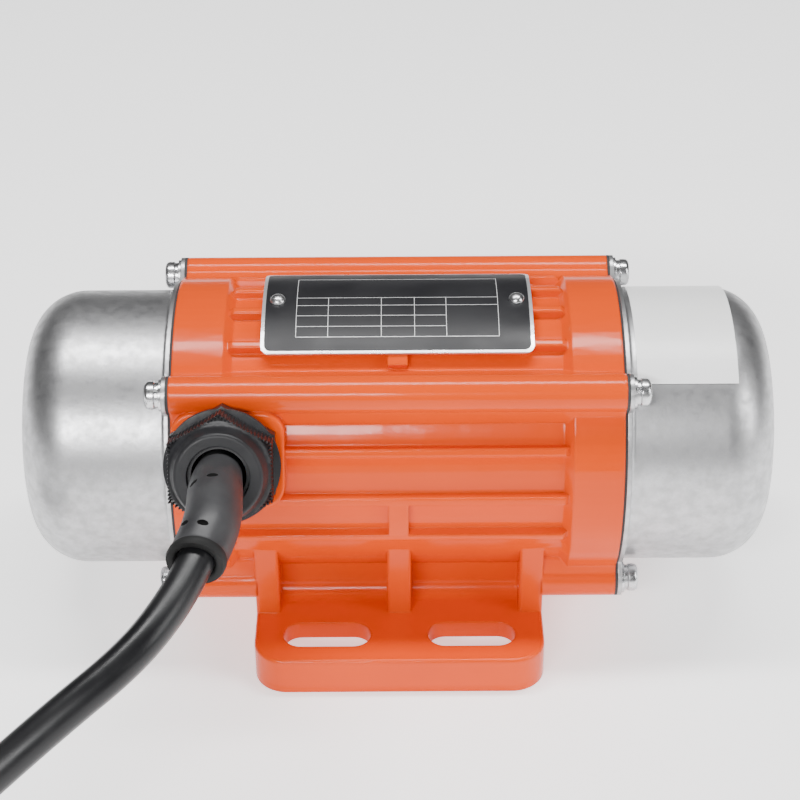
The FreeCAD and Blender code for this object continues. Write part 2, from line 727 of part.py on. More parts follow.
def stator():
    """Build the slotted core and the winding that fills its slots."""
    half = "stator_length / 2"
    slots = int(amount_of("slot_count"))
    core = ring("stator_blank", f"-{half}", half, "stator_bore", "stator_radius - fit")

    def bars(name, growth, reach):
        """Add one straight bar for each slot."""
        made = []
        for number in range(slots):
            turn = 360 / slots * number
            made.append(primitive(
                "Box", f"{name}_{number}", FreeCAD.Rotation(X_AXIS, turn),
                Length=f"stator_length + {reach} * 2", Width=f"winding_slot_width + {growth} * 2",
                Height=f"winding_outer_radius - winding_inner_radius + {growth} * 2",
                x=f"-{half} - {reach}",
                y=f"-(winding_inner_radius - {growth}) * sin({turn})"
                  f" - (winding_slot_width / 2 + {growth}) * cos({turn})",
                z=f"(winding_inner_radius - {growth}) * cos({turn})"
                  f" - (winding_slot_width / 2 + {growth}) * sin({turn})"))
        return made

    on_axis(cut("stator_slots", core, bars("slot_bar", "clearance", "1")), "stator_core")
    hoops = [ring(f"winding_hoop_{number}", start, f"{start} + winding_overhang - 0.5",
                  "winding_inner_radius", "winding_outer_radius")
             for number, start in enumerate((f"({half} + 0.5)", f"(-{half} - winding_overhang)"))]
    for hoop, end in zip(hoops, (f"{half} + winding_overhang", f"-{half} - winding_overhang")):
        round_turned(hoop, "edge_round * 2", end, "winding_outer_radius")
        round_turned(hoop, "edge_round * 2", end, "winding_inner_radius")
    on_axis(fuse("winding_whole", hoops + bars("winding_bar", "0", "1")), "stator_winding")


# Rotor, shaft and eccentric weights

fixed_start = f"({half_body} + weight_gap)"
fixed_end = f"({fixed_start} + fixed_weight_thickness)"
loose_start = f"({fixed_end} + spacer_thickness)"
loose_end = f"({loose_start} + loose_weight_thickness)"
nut_start = f"({loose_end} + end_washer_thickness)"
nut_end = f"({nut_start} + nut_thickness)"
rotor_radius = "(stator_bore - air_gap)"


def key_box(name, side, depth, growth):
    """Add the box of a key seat or of a key on top of the shaft."""
    heading = 1 if side == "right" else -1
    middle = f"{heading} * ({fixed_start} + fixed_weight_thickness / 2)"
    return block(name, f"fixed_weight_thickness - 1 + {growth} * 2", f"key_width + {growth} * 2", depth,
                 x=middle, z="shaft_end_radius - key_depth")


def shaft():
    """Build the stepped shaft with its key seats."""
    left_start, left_stop = bearing_place("left")
    right_start, right_stop = bearing_place("right")
    seat, end = "bearing_bore_radius", "shaft_end_radius"
    blank = turned("shaft_blank", [
        (f"-{nut_end} - thread_end", "0"), (f"{nut_end} + thread_end", "0"),
        (f"{nut_end} + thread_end", "thread_radius"), (f"{loose_end} - 0.5", "thread_radius"),
        (f"{loose_end} - 0.5", end), (right_stop, end), (right_stop, seat), (right_start, seat),
        (right_start, "rotor_seat_radius"), (f"-{left_start}", "rotor_seat_radius"),
        (f"-{left_start}", seat), (f"-{left_stop}", seat), (f"-{left_stop}", end),
        (f"-{loose_end} + 0.5", end), (f"-{loose_end} + 0.5", "thread_radius"),
        (f"-{nut_end} - thread_end", "thread_radius"),
    ])
    seats = [key_box(f"{side}_key_seat", side, "shaft_end_radius", "fit") for side in SIDES]
    on_axis(cut("shaft_part", blank, seats), "shaft")
    for side in SIDES:
        place(key_box(f"{side}_key_bar", side, "key_height", "0"), f"{side}_weight_key",
              z="axis_height + shaft_end_radius - key_depth")


def rotor():
    """Build the laminated rotor core and its cast cage."""
    half = "stator_length / 2"
    count = int(amount_of("rotor_bar_count"))
    turns = [360 / count * number for number in range(count)]
    bar_circle = f"{rotor_radius} - rotor_bar_radius - 0.6"
    core = ring("rotor_blank", f"-{half}", half, "rotor_seat_radius + fit", rotor_radius)
    hole = rod("bar_hole", f"-{half} - 1", "stator_length + 2", "rotor_bar_radius + fit")
    on_axis(cut("rotor_slots", core, copies_at("bar_hole_copy", hole, turns, bar_circle)), "rotor_core")
    bar = rod("cage_bar", f"-{half} - 1", "stator_length + 2", "rotor_bar_radius")
    rings = [ring(f"end_ring_{number}", start, f"{start} + end_ring_length", "rotor_seat_radius + 4",
                  f"{rotor_radius} - 0.3")
             for number, start in enumerate((half, f"(-{half} - end_ring_length)"))]
    on_axis(fuse("cage_whole", rings + copies_at("cage_bar_copy", bar, turns, bar_circle)), "rotor_cage")


def weight(name, start, thickness, bore):
    """Add a half-disc weight with a full hub, heavy side down."""
    half_disc = primitive("Cylinder", f"{name}_sector", sector_turn(90), x=start, Height=thickness,
                          Radius="weight_radius", Angle="180")
    hub = rod(f"{name}_hub", start, thickness, "hub_radius")
    hole = rod(f"{name}_bore", f"{start} - 1", f"{thickness} + 2", bore)
    return fuse(f"{name}_blank", [half_disc, hub]), hole


def weights(side):
    """Build the keyed weight, the adjustable weight and what holds them on one shaft end."""
    slip = "shaft_end_radius + fit"
    heading = 1 if side == "right" else -1
    blank, hole = weight(f"{side}_fixed", fixed_start, "fixed_weight_thickness", slip)
    way = primitive("Box", f"{side}_keyway", Length="fixed_weight_thickness + 2", Width="key_width + fit * 2",
                    Height="shaft_end_radius - key_depth + key_height + 0.1",
                    x=f"{fixed_start} - 1", y="-key_width / 2 - fit", z="0")
    on_axis(cut(f"{side}_fixed_part", blank, [hole, way]), f"{side}_fixed_weight", side)

    start, thickness = f"({loose_start} + side_play)", "(loose_weight_thickness - side_play * 2)"
    blank, hole = weight(f"{side}_loose", start, thickness, "shaft_end_radius + clearance / 2")
    middle = f"({loose_start} + loose_weight_thickness / 2)"
    tapped = primitive("Cylinder", f"{side}_set_hole", Radius="set_screw_radius + fit",
                       Height="hub_radius + 1", x=middle, z="0")
    on_axis(cut(f"{side}_loose_part", blank, [hole, tapped]), f"{side}_adjustable_weight", side)
    set_screw = primitive("Cylinder", f"{side}_set_screw_rod", Radius="set_screw_radius",
                          Height="hub_radius - shaft_end_radius - 1")
    place(set_screw, f"{side}_weight_set_screw", x=f"{heading} * {middle}",
          z="axis_height + shaft_end_radius + clearance")

    collars = (
        ("inner_sleeve", bearing_end, fixed_start, slip, "sleeve_radius"),
        ("weight_spacer", fixed_end, loose_start, slip, "sleeve_radius"),
        ("end_washer", loose_end, nut_start, "thread_radius + fit", "sleeve_radius + 1.5"),
    )
    for name, first, last, bore, outer in collars:
        if name == "inner_sleeve" and side == "right":
            first = bearing_place(side)[1]
        on_axis(ring(f"{side}_{name}_ring", first, last, bore, outer), f"{side}_{name}", side)
    nut = hexagon(f"{side}_nut_blank", nut_start, "nut_thickness", "nut_width")
    thread = rod(f"{side}_nut_thread", f"{nut_start} - 1", "nut_thickness + 2", "thread_radius + fit")
    on_axis(cut(f"{side}_nut", nut, [thread]), f"{side}_shaft_nut", side)


# Nameplate and cap label

def curved_sheet(name, start, length, inner, outer, first, sweep):
    """Add a sheet bent round the shaft axis, swept from an angle from the top towards -Y."""
    full = primitive("Cylinder", f"{name}_outer", sector_turn(amount_of(first)), x=start, Height=length,
                     Radius=outer, Angle=sweep)
    core = rod(f"{name}_inner", f"{start} - 1", f"{length} + 2", inner)
    return cut(name, full, [core])


def nameplate():
    """Build the bent plate, which bears on the fin tops, and its rivets."""
    inner = "fin_radius + fit"
    plain = curved_sheet("plate_sheet", "-plate_length / 2", "plate_length", inner,
                         f"{inner} + plate_thickness", "-plate_sweep / 2", "plate_sweep")
    corners = rounded("plate_corners", plain, "plate_corner", is_plate_corner)
    holes = [primitive("Cylinder", f"plate_hole_{number}", Radius="rivet_radius + fit", Height="10",
                       x=f"{end} * rivet_pitch / 2", z="fin_radius - 5") for number, end in enumerate((-1, 1))]
    lean = amount_of("plate_lean")
    on_axis(cut("plate_part", corners, holes), "nameplate", about=lean)
    pair = []
    for number, end in enumerate((-1, 1)):
        top = f"({inner} + plate_thickness)"
        shank = primitive("Cylinder", f"rivet_shank_{number}", Radius="rivet_radius",
                          Height="6", x=f"{end} * rivet_pitch / 2", z=f"{top} - 6 + 0.2")
        dome = primitive("Sphere", f"rivet_dome_{number}", Radius="rivet_head_radius", Angle1="0",
                         x=f"{end} * rivet_pitch / 2", z=f"{top}")
        pair.append(fuse(f"rivet_{number}", [shank, dome]))
    on_axis(group("rivet_pair", pair), "nameplate_rivets", about=lean)


def is_plate_corner(edge):
    """Tell whether an edge runs through the plate's thickness."""
    return isinstance(edge.Curve, Part.Line) and edge.Length < amount_of("plate_thickness") * 1.5


def cap_label():
    """Build the paper label round the right cap."""
    start = f"({rim_face} + 2)"
    paper = curved_sheet("label_sheet", start, "label_width", "cap_radius + label_gap",
                         "cap_radius + label_gap + label_thickness",
                         "-label_start", "label_sweep")
    on_axis(paper, "cap_label")


# Cable gland, boot and cable

flange_foot = "(gland_pad_radius + gland_seal_thickness + gland_hex_thickness)"
flange_face = f"({flange_foot} + gland_flange_thickness)"
nut_face = f"({flange_face} + gland_nut_length)"
mouth_face = f"({nut_face} + gland_dome_length)"


def on_gland(thing, label):
    """Place a sub-part on the gland's axis."""
    return place(thing, label, gland_frame(), x="-gland_offset", z="axis_height")


def gland():
    """Build the seal, the body, the cap nut and the rubber grommet of the gland."""
    on_gland(ring("seal_ring", "gland_pad_radius", "gland_pad_radius + gland_seal_thickness",
                  "gland_thread_radius + clearance", "gland_hex_width / 2 - 0.6"), "gland_seal")

    spigot = rod("gland_spigot", "gland_pad_radius - 9", "9 + 3", "gland_thread_radius")
    base = hexagon("gland_base", "gland_pad_radius + gland_seal_thickness", "gland_hex_thickness",
                   "gland_hex_width")
    flange = turned("gland_flange", [
        (f"{flange_foot} - 1", "gland_bore_radius + 1"), (flange_face, "gland_bore_radius + 1"),
        (flange_face, "gland_flange_radius"), (flange_foot, "gland_flange_radius"),
        (flange_foot, "gland_flange_radius - 2"), (f"{flange_foot} - 1", "gland_flange_radius - 2"),
    ])
    neck = rod("gland_neck", f"{flange_face} - 1", "gland_nut_length", "gland_thread_radius")
    passage = rod("gland_passage", "20", "60", "gland_bore_radius")
    on_gland(cut("gland_body_part", fuse("gland_body_whole", [spigot, base, flange, neck]), [passage]),
             "gland_body")

    nut = hexagon("gland_nut_hex", flange_face, "gland_nut_length", "gland_nut_width")
    cone = turned("gland_nut_round", [
        (flange_face, "gland_mouth_radius"), (mouth_face, "gland_mouth_radius"),
        (mouth_face, "gland_dome_radius"), (nut_face, "gland_nut_width / 2 - 0.4"),
        (flange_face, "gland_nut_width / 2 - 0.4"),
    ])
    round_turned(cone, "edge_round * 1.2", mouth_face, "gland_dome_radius")
    limit = primitive("Cone", "gland_nut_chamfer", ALONG_X, x=flange_face, Height="gland_nut_length + 0.01",
                      Radius1="gland_nut_width / 2 / cos(30) + 3.2", Radius2="gland_nut_width / 2 + 0.2")
    trimmed = doc.addObject("Part::Common", "gland_nut_trimmed")
    trimmed.Base = nut
    trimmed.Tool = limit
    bore = rod("gland_nut_bore", f"{flange_face} - 1", "gland_nut_length + 1",
               "gland_thread_radius + clearance")
    mouth = rod("gland_nut_mouth", f"{flange_face} - 1", "gland_nut_length + gland_dome_length + 2",
                "gland_mouth_radius")
    on_gland(cut("gland_nut_part", fuse("gland_nut_whole", [trimmed, cone]), [bore, mouth]),
             "gland_cap_nut")


def gland_spot(reach, along="0"):
    """Give a point on the gland's axis, by its distance from the shaft axis."""
    lean = math.radians(amount_of("gland_angle"))
    far = amount_of(reach)
    return FreeCAD.Vector(amount_of(f"-gland_offset + {along}"), -math.sin(lean) * far,
                          amount_of("axis_height") + math.cos(lean) * far)


def run_path(points, radii=None):
    """Join straight runs by tangent arcs; each arc is as large as its two runs allow unless given."""
    edges = []
    start = points[0]
    used = []
    for number in range(1, len(points) - 1):
        before, corner, after = points[number - 1:number + 2]
        back, ahead = before - corner, after - corner
        half_turn = (math.pi - back.getAngle(ahead)) / 2
        radius = 0.45 * min(back.Length, ahead.Length) / math.tan(half_turn)
        if radii:
            radius = radii
        tangent = radius * math.tan(half_turn)
        back.normalize()
        ahead.normalize()
        first, last = corner + back * tangent, corner + ahead * tangent
        inward = (back + ahead).normalize()
        middle = corner + inward * (radius / math.cos(half_turn) - radius)
        edges.append(Part.LineSegment(start, first).toShape())
        edges.append(Part.Arc(first, middle, last).toShape())
        start = last
        used.append(round(radius, 1))
    edges.append(Part.LineSegment(start, points[-1]).toShape())
    return Part.Wire(edges), used


def tube(points, radius, radii=None):
    """Sweep a round section along runs and arcs, and give its length and bend radii too."""
    path, used = run_path(points, radii)
    section = Part.Wire(Part.Circle(points[0], points[1] - points[0], radius).toShape())
    return path.makePipeShell([section], True, True), path.Length, used


# The cable's free stretch, from the boot to the coil on the floor; the coil is outside the view
BOOT_BEND = FreeCAD.Vector(-46.8, -85.0, 82.2)
BOOT_END = FreeCAD.Vector(-50.4, -95.0, 79.2)
LEAD_ROUTE = [
    BOOT_END,
    FreeCAD.Vector(-55.8, -110.0, 74.7),
    FreeCAD.Vector(-65.3, -123.1, 69.4),
    FreeCAD.Vector(-81.8, -135.5, 61.9),
    FreeCAD.Vector(-101.2, -148.1, 50.1),
    FreeCAD.Vector(-121.2, -158.7, 35.4),
    FreeCAD.Vector(-141.9, -167.9, 20.7),
    FreeCAD.Vector(-163.6, -175.0, 10.5),
    FreeCAD.Vector(-184.8, -178.2, 5.5),
]
COIL_CENTRE = FreeCAD.Vector(-190.0, -121.5, 0)
COIL_RADIUS = 52.3
TAIL_TURN = 60.0
TAIL_LENGTH = 30.0
CORE_LENGTH = 24.0
FERRULE_LENGTH = 8.0


def boot_and_cable():
    """Build the strain relief boot, the cable inside it and the free stretch of cable."""
    mouth = gland_spot(f"{mouth_face} + 7.5")
    boot_route = [gland_spot(f"{flange_face} + 1"), mouth, BOOT_BEND, BOOT_END]
    inner_route = [gland_spot("gland_pad_radius - 14"), mouth, BOOT_BEND, BOOT_END]
    boot_round = 22.0
    skin = amount_of("cable_radius + fit")
    outer, length, used = tube(boot_route, amount_of("boot_radius"), boot_round)
    hollow = tube(boot_route, skin, boot_round)[0]
    code_part("cable_boot", outer.cut(hollow))
    code_part("cable_inner", tube(inner_route, amount_of("cable_radius"), boot_round)[0])
    lead, length, used = tube(LEAD_ROUTE, amount_of("cable_radius"))
    section = math.pi * amount_of("cable_radius") ** 2
    print("lead length", round(length, 1), "radii", used, "volume ratio",
          round(lead.Volume / (section * length), 4))
    code_part("cable_lead", lead)

    start, end = amount_of(f"{flange_face} + 1.2"), amount_of(f"{mouth_face} - 2")
    grommet = ring("grommet_ring", str(start), str(end), "boot_radius + fit", "gland_bore_radius - fit")
    on_gland(grommet, "gland_grommet")


def tail_frame():
    """Give the start and heading of the cable's tail, where it leaves the top turn."""
    turn = math.radians(TAIL_TURN)
    out = FreeCAD.Vector(math.cos(turn), math.sin(turn), 0)
    heading = FreeCAD.Vector(math.sin(turn), -math.cos(turn), 0)
    lift = amount_of("cable_radius") * 2.75
    return COIL_CENTRE + out * COIL_RADIUS + Z_AXIS * lift, heading


def coil():
    """Build the put-away coil's outer shape with the cable's tail, its tie and the bare cores."""
    thick = amount_of("cable_radius")
    height = thick * 3.75
    profile = Part.makePolygon([FreeCAD.Vector(COIL_RADIUS + u * thick, 0, v * height) for u, v in (
        (-1.6, 0), (1.6, 0), (2, 0.15), (2, 0.45), (1, 1), (-1, 1), (-2, 0.45), (-2, 0.15), (-1.6, 0))])
    wound = Part.Face(profile).revolve(FreeCAD.Vector(), Z_AXIS, 360)
    wound.translate(COIL_CENTRE)
    start, heading = tail_frame()
    tail = Part.makeCylinder(thick, TAIL_LENGTH, start, heading)
    code_part("cable_coil", wound.fuse(tail))

    strap = 1.0
    span = thick * 4.1
    outer = Part.makeBox(8, span + strap * 2, height + strap,
                         FreeCAD.Vector(-4, COIL_RADIUS - span / 2 - strap, 0))
    inner = Part.makeBox(10, span, height - strap * 0.8,
                         FreeCAD.Vector(-5, COIL_RADIUS - span / 2, strap * 0.8))
    band = outer.cut(inner)
    band.rotate(FreeCAD.Vector(), Z_AXIS, 75)
    band.translate(COIL_CENTRE)
    code_part("cable_tie", band)

    cores, ferrules = [], []
    side = heading.cross(Z_AXIS)
    bare = amount_of("core_radius")
    for across, up in ((-1, -1), (1, -1), (-1, 1), (1, 1)):
        root = start + heading * TAIL_LENGTH + (side * across + Z_AXIS * up) * bare * 1.15
        lean = (heading + side * across * 0.09 + Z_AXIS * (up * 0.05 - 0.08)).normalize()
        cores.append(Part.makeCylinder(bare, CORE_LENGTH, root, lean))
        ferrules.append(Part.makeCylinder(bare * 0.6, FERRULE_LENGTH, root + lean * CORE_LENGTH, lean))
    code_part("cable_cores", Part.makeCompound(cores))
    code_part("core_ferrules", Part.makeCompound(ferrules))


def lead_wires():
    """Build the four wires from the cable's inner end to the winding."""
    lean = math.radians(amount_of("gland_angle"))
    up = FreeCAD.Vector(0, math.cos(lean), math.sin(lean))
    bare = amount_of("core_radius")
    winding_face = amount_of("stator_length / 2 + winding_overhang")
    wires = []
    for across, lift in ((-1, -1), (1, -1), (-1, 1), (1, 1)):
        shift = (X_AXIS * across + up * lift) * bare * 1.2
        depth = f"gland_pad_radius - 21 + {-across} * 1.32"
        root = gland_spot("gland_pad_radius - 14.1") + shift
        corner = gland_spot(depth) + shift
        end = FreeCAD.Vector(-winding_face, corner.y, corner.z)
        wires.append(tube([root, corner, end], bare, bare * 2)[0])
    code_part("lead_wires", Part.makeCompound(wires))


housing()
for side in SIDES:
    cap(side)
    gasket(side)
    end_shield(side)
    bearing(side)
    weights(side)
fasteners()
wave_washer()
stator()
shaft()
rotor()
nameplate()
cap_label()
gland()
boot_and_cable()
coil()
lead_wires()
doc.recompute()

failed = [item.Name for item in doc.Objects if {"Invalid", "Error"} & set(item.State)]
for part in parts:
    if part.Shape.isNull() or not part.Shape.isValid():
        failed.append(part.Label)
if failed:
    raise RuntimeError(f"not built: {failed}")

os.makedirs("parts", exist_ok=True)
for part in parts:
    part.Shape.exportStep(f"parts/{part.Label}.step")
    print(part.Label, len(part.Shape.Solids), round(part.Shape.Volume, 1))
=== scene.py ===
import logging
import math
from dataclasses import dataclass, field
from enum import Enum
from functools import cache

import bmesh
import bpy
from mathutils import Matrix, Vector


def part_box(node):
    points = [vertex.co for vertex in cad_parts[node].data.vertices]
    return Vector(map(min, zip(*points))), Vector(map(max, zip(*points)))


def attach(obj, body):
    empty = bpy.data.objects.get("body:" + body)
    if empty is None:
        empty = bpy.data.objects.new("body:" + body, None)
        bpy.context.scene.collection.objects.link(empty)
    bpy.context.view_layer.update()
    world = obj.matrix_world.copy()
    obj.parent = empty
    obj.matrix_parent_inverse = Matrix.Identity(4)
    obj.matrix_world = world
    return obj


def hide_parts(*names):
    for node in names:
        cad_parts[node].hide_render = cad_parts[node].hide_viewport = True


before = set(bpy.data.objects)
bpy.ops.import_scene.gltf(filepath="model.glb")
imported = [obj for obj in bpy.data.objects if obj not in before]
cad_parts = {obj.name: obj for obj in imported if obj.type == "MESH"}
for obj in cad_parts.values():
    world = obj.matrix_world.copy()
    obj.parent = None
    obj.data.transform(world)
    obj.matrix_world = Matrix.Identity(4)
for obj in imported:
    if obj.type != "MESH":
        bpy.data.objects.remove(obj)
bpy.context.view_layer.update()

LOG = logging.getLogger("vibration_motor")
MM = 0.001
AXIS_HEIGHT = 53 * MM
MERGE_DISTANCE = 0.000002
FACE_WEIGHT = 90
ROUND_CRISP = 40.0

Pair = tuple[float, float]
Triple = tuple[float, float, float]
Mesh = bpy.types.Mesh
Piece = bpy.types.Object
Form = bmesh.types.BMesh
Tree = bpy.types.NodeTree
Node = bpy.types.Node
Socket = bpy.types.NodeSocket
Opened = tuple[Tree, dict[str, Socket], Node]


# Named options

class Side(Enum):
    """The two ends of the shaft, with the heading of each along X."""

    LEFT = -1
    RIGHT = 1

    @property
    def word(self) -> str:
        """Give the word that the frame's names start with."""
        return self.name.lower()


class Grain(Enum):
    """The way a surface's fine marks run, as the stretch of the pattern's coordinates."""

    CAST = (1.0, 1.0, 1.0)
    TURNED = (1.0, 0.03, 0.03)
    LENGTHWISE = (0.04, 1.0, 1.0)


# Node trees

SOCKET_KINDS = {tuple: "NodeSocketColor", int: "NodeSocketInt", float: "NodeSocketFloat"}


def feed(tree: Tree, node: Node, feeds: dict[str | int, object]) -> None:
    """Set a node's inputs, each to a value or to the output that feeds it."""
    for key, value in feeds.items():
        if isinstance(value, Socket):
            tree.links.new(value, node.inputs[key])
        else:
            node.inputs[key].default_value = value


def add_node(tree: Tree, kind: str, feeds: dict[str | int, object] | None = None, **settings: object) -> Node:
    """Add a node, set its properties and feed its inputs.

    Args:
        tree: the tree that gets the node.
        kind: the node's type name.
        feeds: each input's name or number, with a value or the output that feeds it.
        settings: the node's properties by name.

    Returns:
        The new node.
    """
    node = tree.nodes.new(kind)
    for name, value in settings.items():
        setattr(node, name, value)
    feed(tree, node, feeds or {})
    return node


def open_tree(name: str, kind: str, inputs: dict[str, object], outputs: dict[str, str]) -> Opened:
    """Start a node tree with named inputs and outputs.

    Args:
        name: the tree's name.
        kind: the tree's type name.
        inputs: each input's name with its default value or its socket type.
        outputs: each output's name with its socket type.

    Returns:
        The tree, what it is given by name, and its output node.
    """
    tree = bpy.data.node_groups.new(name, kind)
    for label, value in inputs.items():
        typed = isinstance(value, str)
        socket = tree.interface.new_socket(label, in_out="INPUT",
                                           socket_type=value if typed else SOCKET_KINDS[type(value)])
        if not typed:
            socket.default_value = value
    for label, socket_kind in outputs.items():
        tree.interface.new_socket(label, in_out="OUTPUT", socket_type=socket_kind)
    start = add_node(tree, "NodeGroupInput")
    return tree, {label: start.outputs[label] for label in inputs}, add_node(tree, "NodeGroupOutput")


def sum_of(tree: Tree, operation: str, first: object, second: object) -> Socket:
    """Add a math node and give its result."""
    return add_node(tree, "ShaderNodeMath", {0: first, 1: second}, operation=operation).outputs[0]


def noise(tree: Tree, vector: Socket, scale: Socket, detail: float, roughness: float) -> Socket:
    """Add a noise texture and give its strength."""
    return add_node(tree, "ShaderNodeTexNoise", {"Vector": vector, "Scale": scale, "Detail": detail,
                                                 "Roughness": roughness}).outputs["Fac"]


def stretched(tree: Tree, value: Socket, low: float, high: float) -> Socket:
    """Stretch the part of a value between two bounds over the range from 0 to 1."""
    return add_node(tree, "ShaderNodeMapRange", {"Value": value, "From Min": low,
                                                 "From Max": high}).outputs["Result"]


@cache
def grain_group() -> Tree:
    """Build the group that gives a surface its slow waves and its fine grain, as a height."""
    tree, given, end = open_tree("surface_grain", "ShaderNodeTree", {
        "Vector": "NodeSocketVector", "Wave Scale": 60.0, "Grain Scale": 900.0, "Grain Share": 0.3,
    }, {"Height": "NodeSocketFloat"})
    waves = noise(tree, given["Vector"], given["Wave Scale"], 2.0, 0.45)
    grain = noise(tree, given["Vector"], given["Grain Scale"], 3.0, 0.6)
    share = sum_of(tree, "MULTIPLY", grain, given["Grain Share"])
    feed(tree, end, {"Height": sum_of(tree, "ADD", waves, share)})
    return tree


@cache
def mottle_group() -> Tree:
    """Build the group that lets a colour and a roughness drift over a surface."""
    tree, given, end = open_tree("surface_mottle", "ShaderNodeTree", {
        "Vector": "NodeSocketVector", "Scale": 25.0, "Speck Scale": 400.0, "Colour": (0.5, 0.5, 0.5, 1.0),
        "Tint": (0.4, 0.4, 0.4, 1.0), "Least Roughness": 0.3, "Most Roughness": 0.4, "Speck Amount": 0.2,
    }, {"Colour": "NodeSocketColor", "Roughness": "NodeSocketFloat"})
    cloud = stretched(tree, noise(tree, given["Vector"], given["Scale"], 4.0, 0.55), 0.35, 0.65)
    speck = stretched(tree, noise(tree, given["Vector"], given["Speck Scale"], 2.0, 0.5), 0.56, 0.7)
    share = sum_of(tree, "MAXIMUM", cloud, sum_of(tree, "MULTIPLY", speck, given["Speck Amount"]))
    blend = add_node(tree, "ShaderNodeMix", data_type="RGBA")
    feed(tree, blend, {"Factor": share, 6: given["Colour"], 7: given["Tint"]})
    rough = add_node(tree, "ShaderNodeMapRange", {"Value": cloud, "To Min": given["Least Roughness"],
                                                  "To Max": given["Most Roughness"]})
    feed(tree, end, {"Colour": blend.outputs[2], "Roughness": rough.outputs["Result"]})
    return tree


# Finishes

@dataclass(frozen=True)
class Finish:
    """One procedural surface finish; colours are linear and scales count per metre."""

    name: str
    slot: str
    colour: Triple
    tint: Triple
    roughness: Pair
    metallic: float = 0.0
    mottle_scale: float = 25.0
    speck_scale: float = 500.0
    speck_amount: float = 0.25
    grain: Grain = Grain.CAST
    wave_scale: float = 60.0
    grain_scale: float = 900.0
    grain_share: float = 0.3
    bump: float = 0.00005
    coat: float = 0.0
    coat_roughness: float = 0.05
    edge_radius: float = 0.0
    specular: float = 0.5

    def material(self) -> bpy.types.Material:
        """Give the finish's material, and build it on the first call."""
        return bpy.data.materials.get(self.name) or self.build()

    def build(self) -> bpy.types.Material:
        """Build the material."""
        material = bpy.data.materials.new(self.name)
        material.use_nodes = True
        tree = material.node_tree
        place = add_node(tree, "ShaderNodeTexCoord").outputs["Object"]
        stretch = add_node(tree, "ShaderNodeMapping", {"Vector": place, "Scale": self.grain.value})
        mottle = add_node(tree, "ShaderNodeGroup", {
            "Vector": place, "Scale": self.mottle_scale, "Speck Scale": self.speck_scale,
            "Speck Amount": self.speck_amount, "Colour": (*self.colour, 1.0), "Tint": (*self.tint, 1.0),
            "Least Roughness": self.roughness[0], "Most Roughness": self.roughness[1],
        }, node_tree=mottle_group())
        grain = add_node(tree, "ShaderNodeGroup", {
            "Vector": stretch.outputs["Vector"], "Wave Scale": self.wave_scale,
            "Grain Scale": self.grain_scale, "Grain Share": self.grain_share,
        }, node_tree=grain_group())
        bump = add_node(tree, "ShaderNodeBump", {"Height": grain.outputs["Height"],
                                                 "Distance": self.bump, "Strength": 1.0})
        if self.edge_radius:
            soft = add_node(tree, "ShaderNodeBevel", {"Radius": self.edge_radius}, samples=6)
            feed(tree, bump, {"Normal": soft.outputs["Normal"]})
        shader = tree.nodes["Principled BSDF"]
        feed(tree, shader, {
            "Base Color": mottle.outputs["Colour"], "Roughness": mottle.outputs["Roughness"],
            "Normal": bump.outputs["Normal"], "Metallic": self.metallic, "Coat Weight": self.coat,
            "Coat Roughness": self.coat_roughness, "Specular IOR Level": self.specular})
        if self.coat:
            feed(tree, shader, {"Coat Normal": bump.outputs["Normal"]})
        return material


def steel(name: str, slot: str, shade: float, roughness: Pair, **more: object) -> Finish:
    """Give a bare steel finish of one shade, with any other fields of a finish."""
    return Finish(name, slot, (shade, shade, shade * 1.02), (shade * 0.8, shade * 0.8, shade * 0.81),
                  roughness, metallic=1.0, **more)


PAINT = Finish("orange_casting_paint", "orange_paint", (0.74, 0.068, 0.0), (0.68, 0.06, 0.0), (0.14, 0.2),
               mottle_scale=14, speck_scale=700, speck_amount=0.15, wave_scale=95, grain_scale=520,
               grain_share=0.12, bump=0.00014, coat=0.06, specular=0.2, edge_radius=0.0009)
CAP_STEEL = steel("drawn_cap_steel", "cap_steel", 0.55, (0.36, 0.44), mottle_scale=320, speck_scale=1700,
                  speck_amount=0.7, wave_scale=420, grain_scale=1900, grain_share=0.6, bump=0.00003,
                  edge_radius=0.0004)
SCREW_STEEL = steel("plated_screw_steel", "screw_steel", 0.72, (0.18, 0.34), mottle_scale=260,
                    speck_scale=1500, wave_scale=500, bump=0.00003, edge_radius=0.0003)
GASKET = Finish("gasket_rubber", "gasket_rubber", (0.018, 0.018, 0.02), (0.03, 0.03, 0.032), (0.6, 0.8),
                mottle_scale=120, bump=0.00004)
SHIELD_METAL = Finish("cast_shield_aluminium", "cast_aluminium", (0.55, 0.55, 0.57), (0.42, 0.42, 0.44),
                      (0.35, 0.55), metallic=1.0, mottle_scale=70, wave_scale=250, bump=0.00008)
BEARING_STEEL = steel("ground_bearing_steel", "bearing_steel", 0.7, (0.1, 0.2), grain=Grain.TURNED,
                      wave_scale=900, grain_scale=3000, bump=0.000012)
CAGE_BRASS = Finish("pressed_cage_brass", "cage_brass", (0.72, 0.5, 0.17), (0.6, 0.4, 0.12), (0.25, 0.4),
                    metallic=1.0, mottle_scale=200, bump=0.00003)
LAMINATION = steel("stacked_lamination_steel", "lamination_steel", 0.34, (0.4, 0.55), grain=Grain.TURNED,
                   wave_scale=1900, grain_scale=2600, grain_share=0.4, bump=0.00012)
WINDING = Finish("varnished_winding_copper", "winding_copper", (0.55, 0.16, 0.045), (0.4, 0.1, 0.03),
                 (0.22, 0.38), metallic=0.75, grain=Grain.LENGTHWISE, mottle_scale=90, wave_scale=1100,
                 grain_scale=1900, bump=0.00025, coat=0.4)
TURNED_STEEL = steel("turned_shaft_steel", "turned_steel", 0.6, (0.2, 0.32), grain=Grain.TURNED,
                     wave_scale=1400, grain_scale=3600, bump=0.00003)
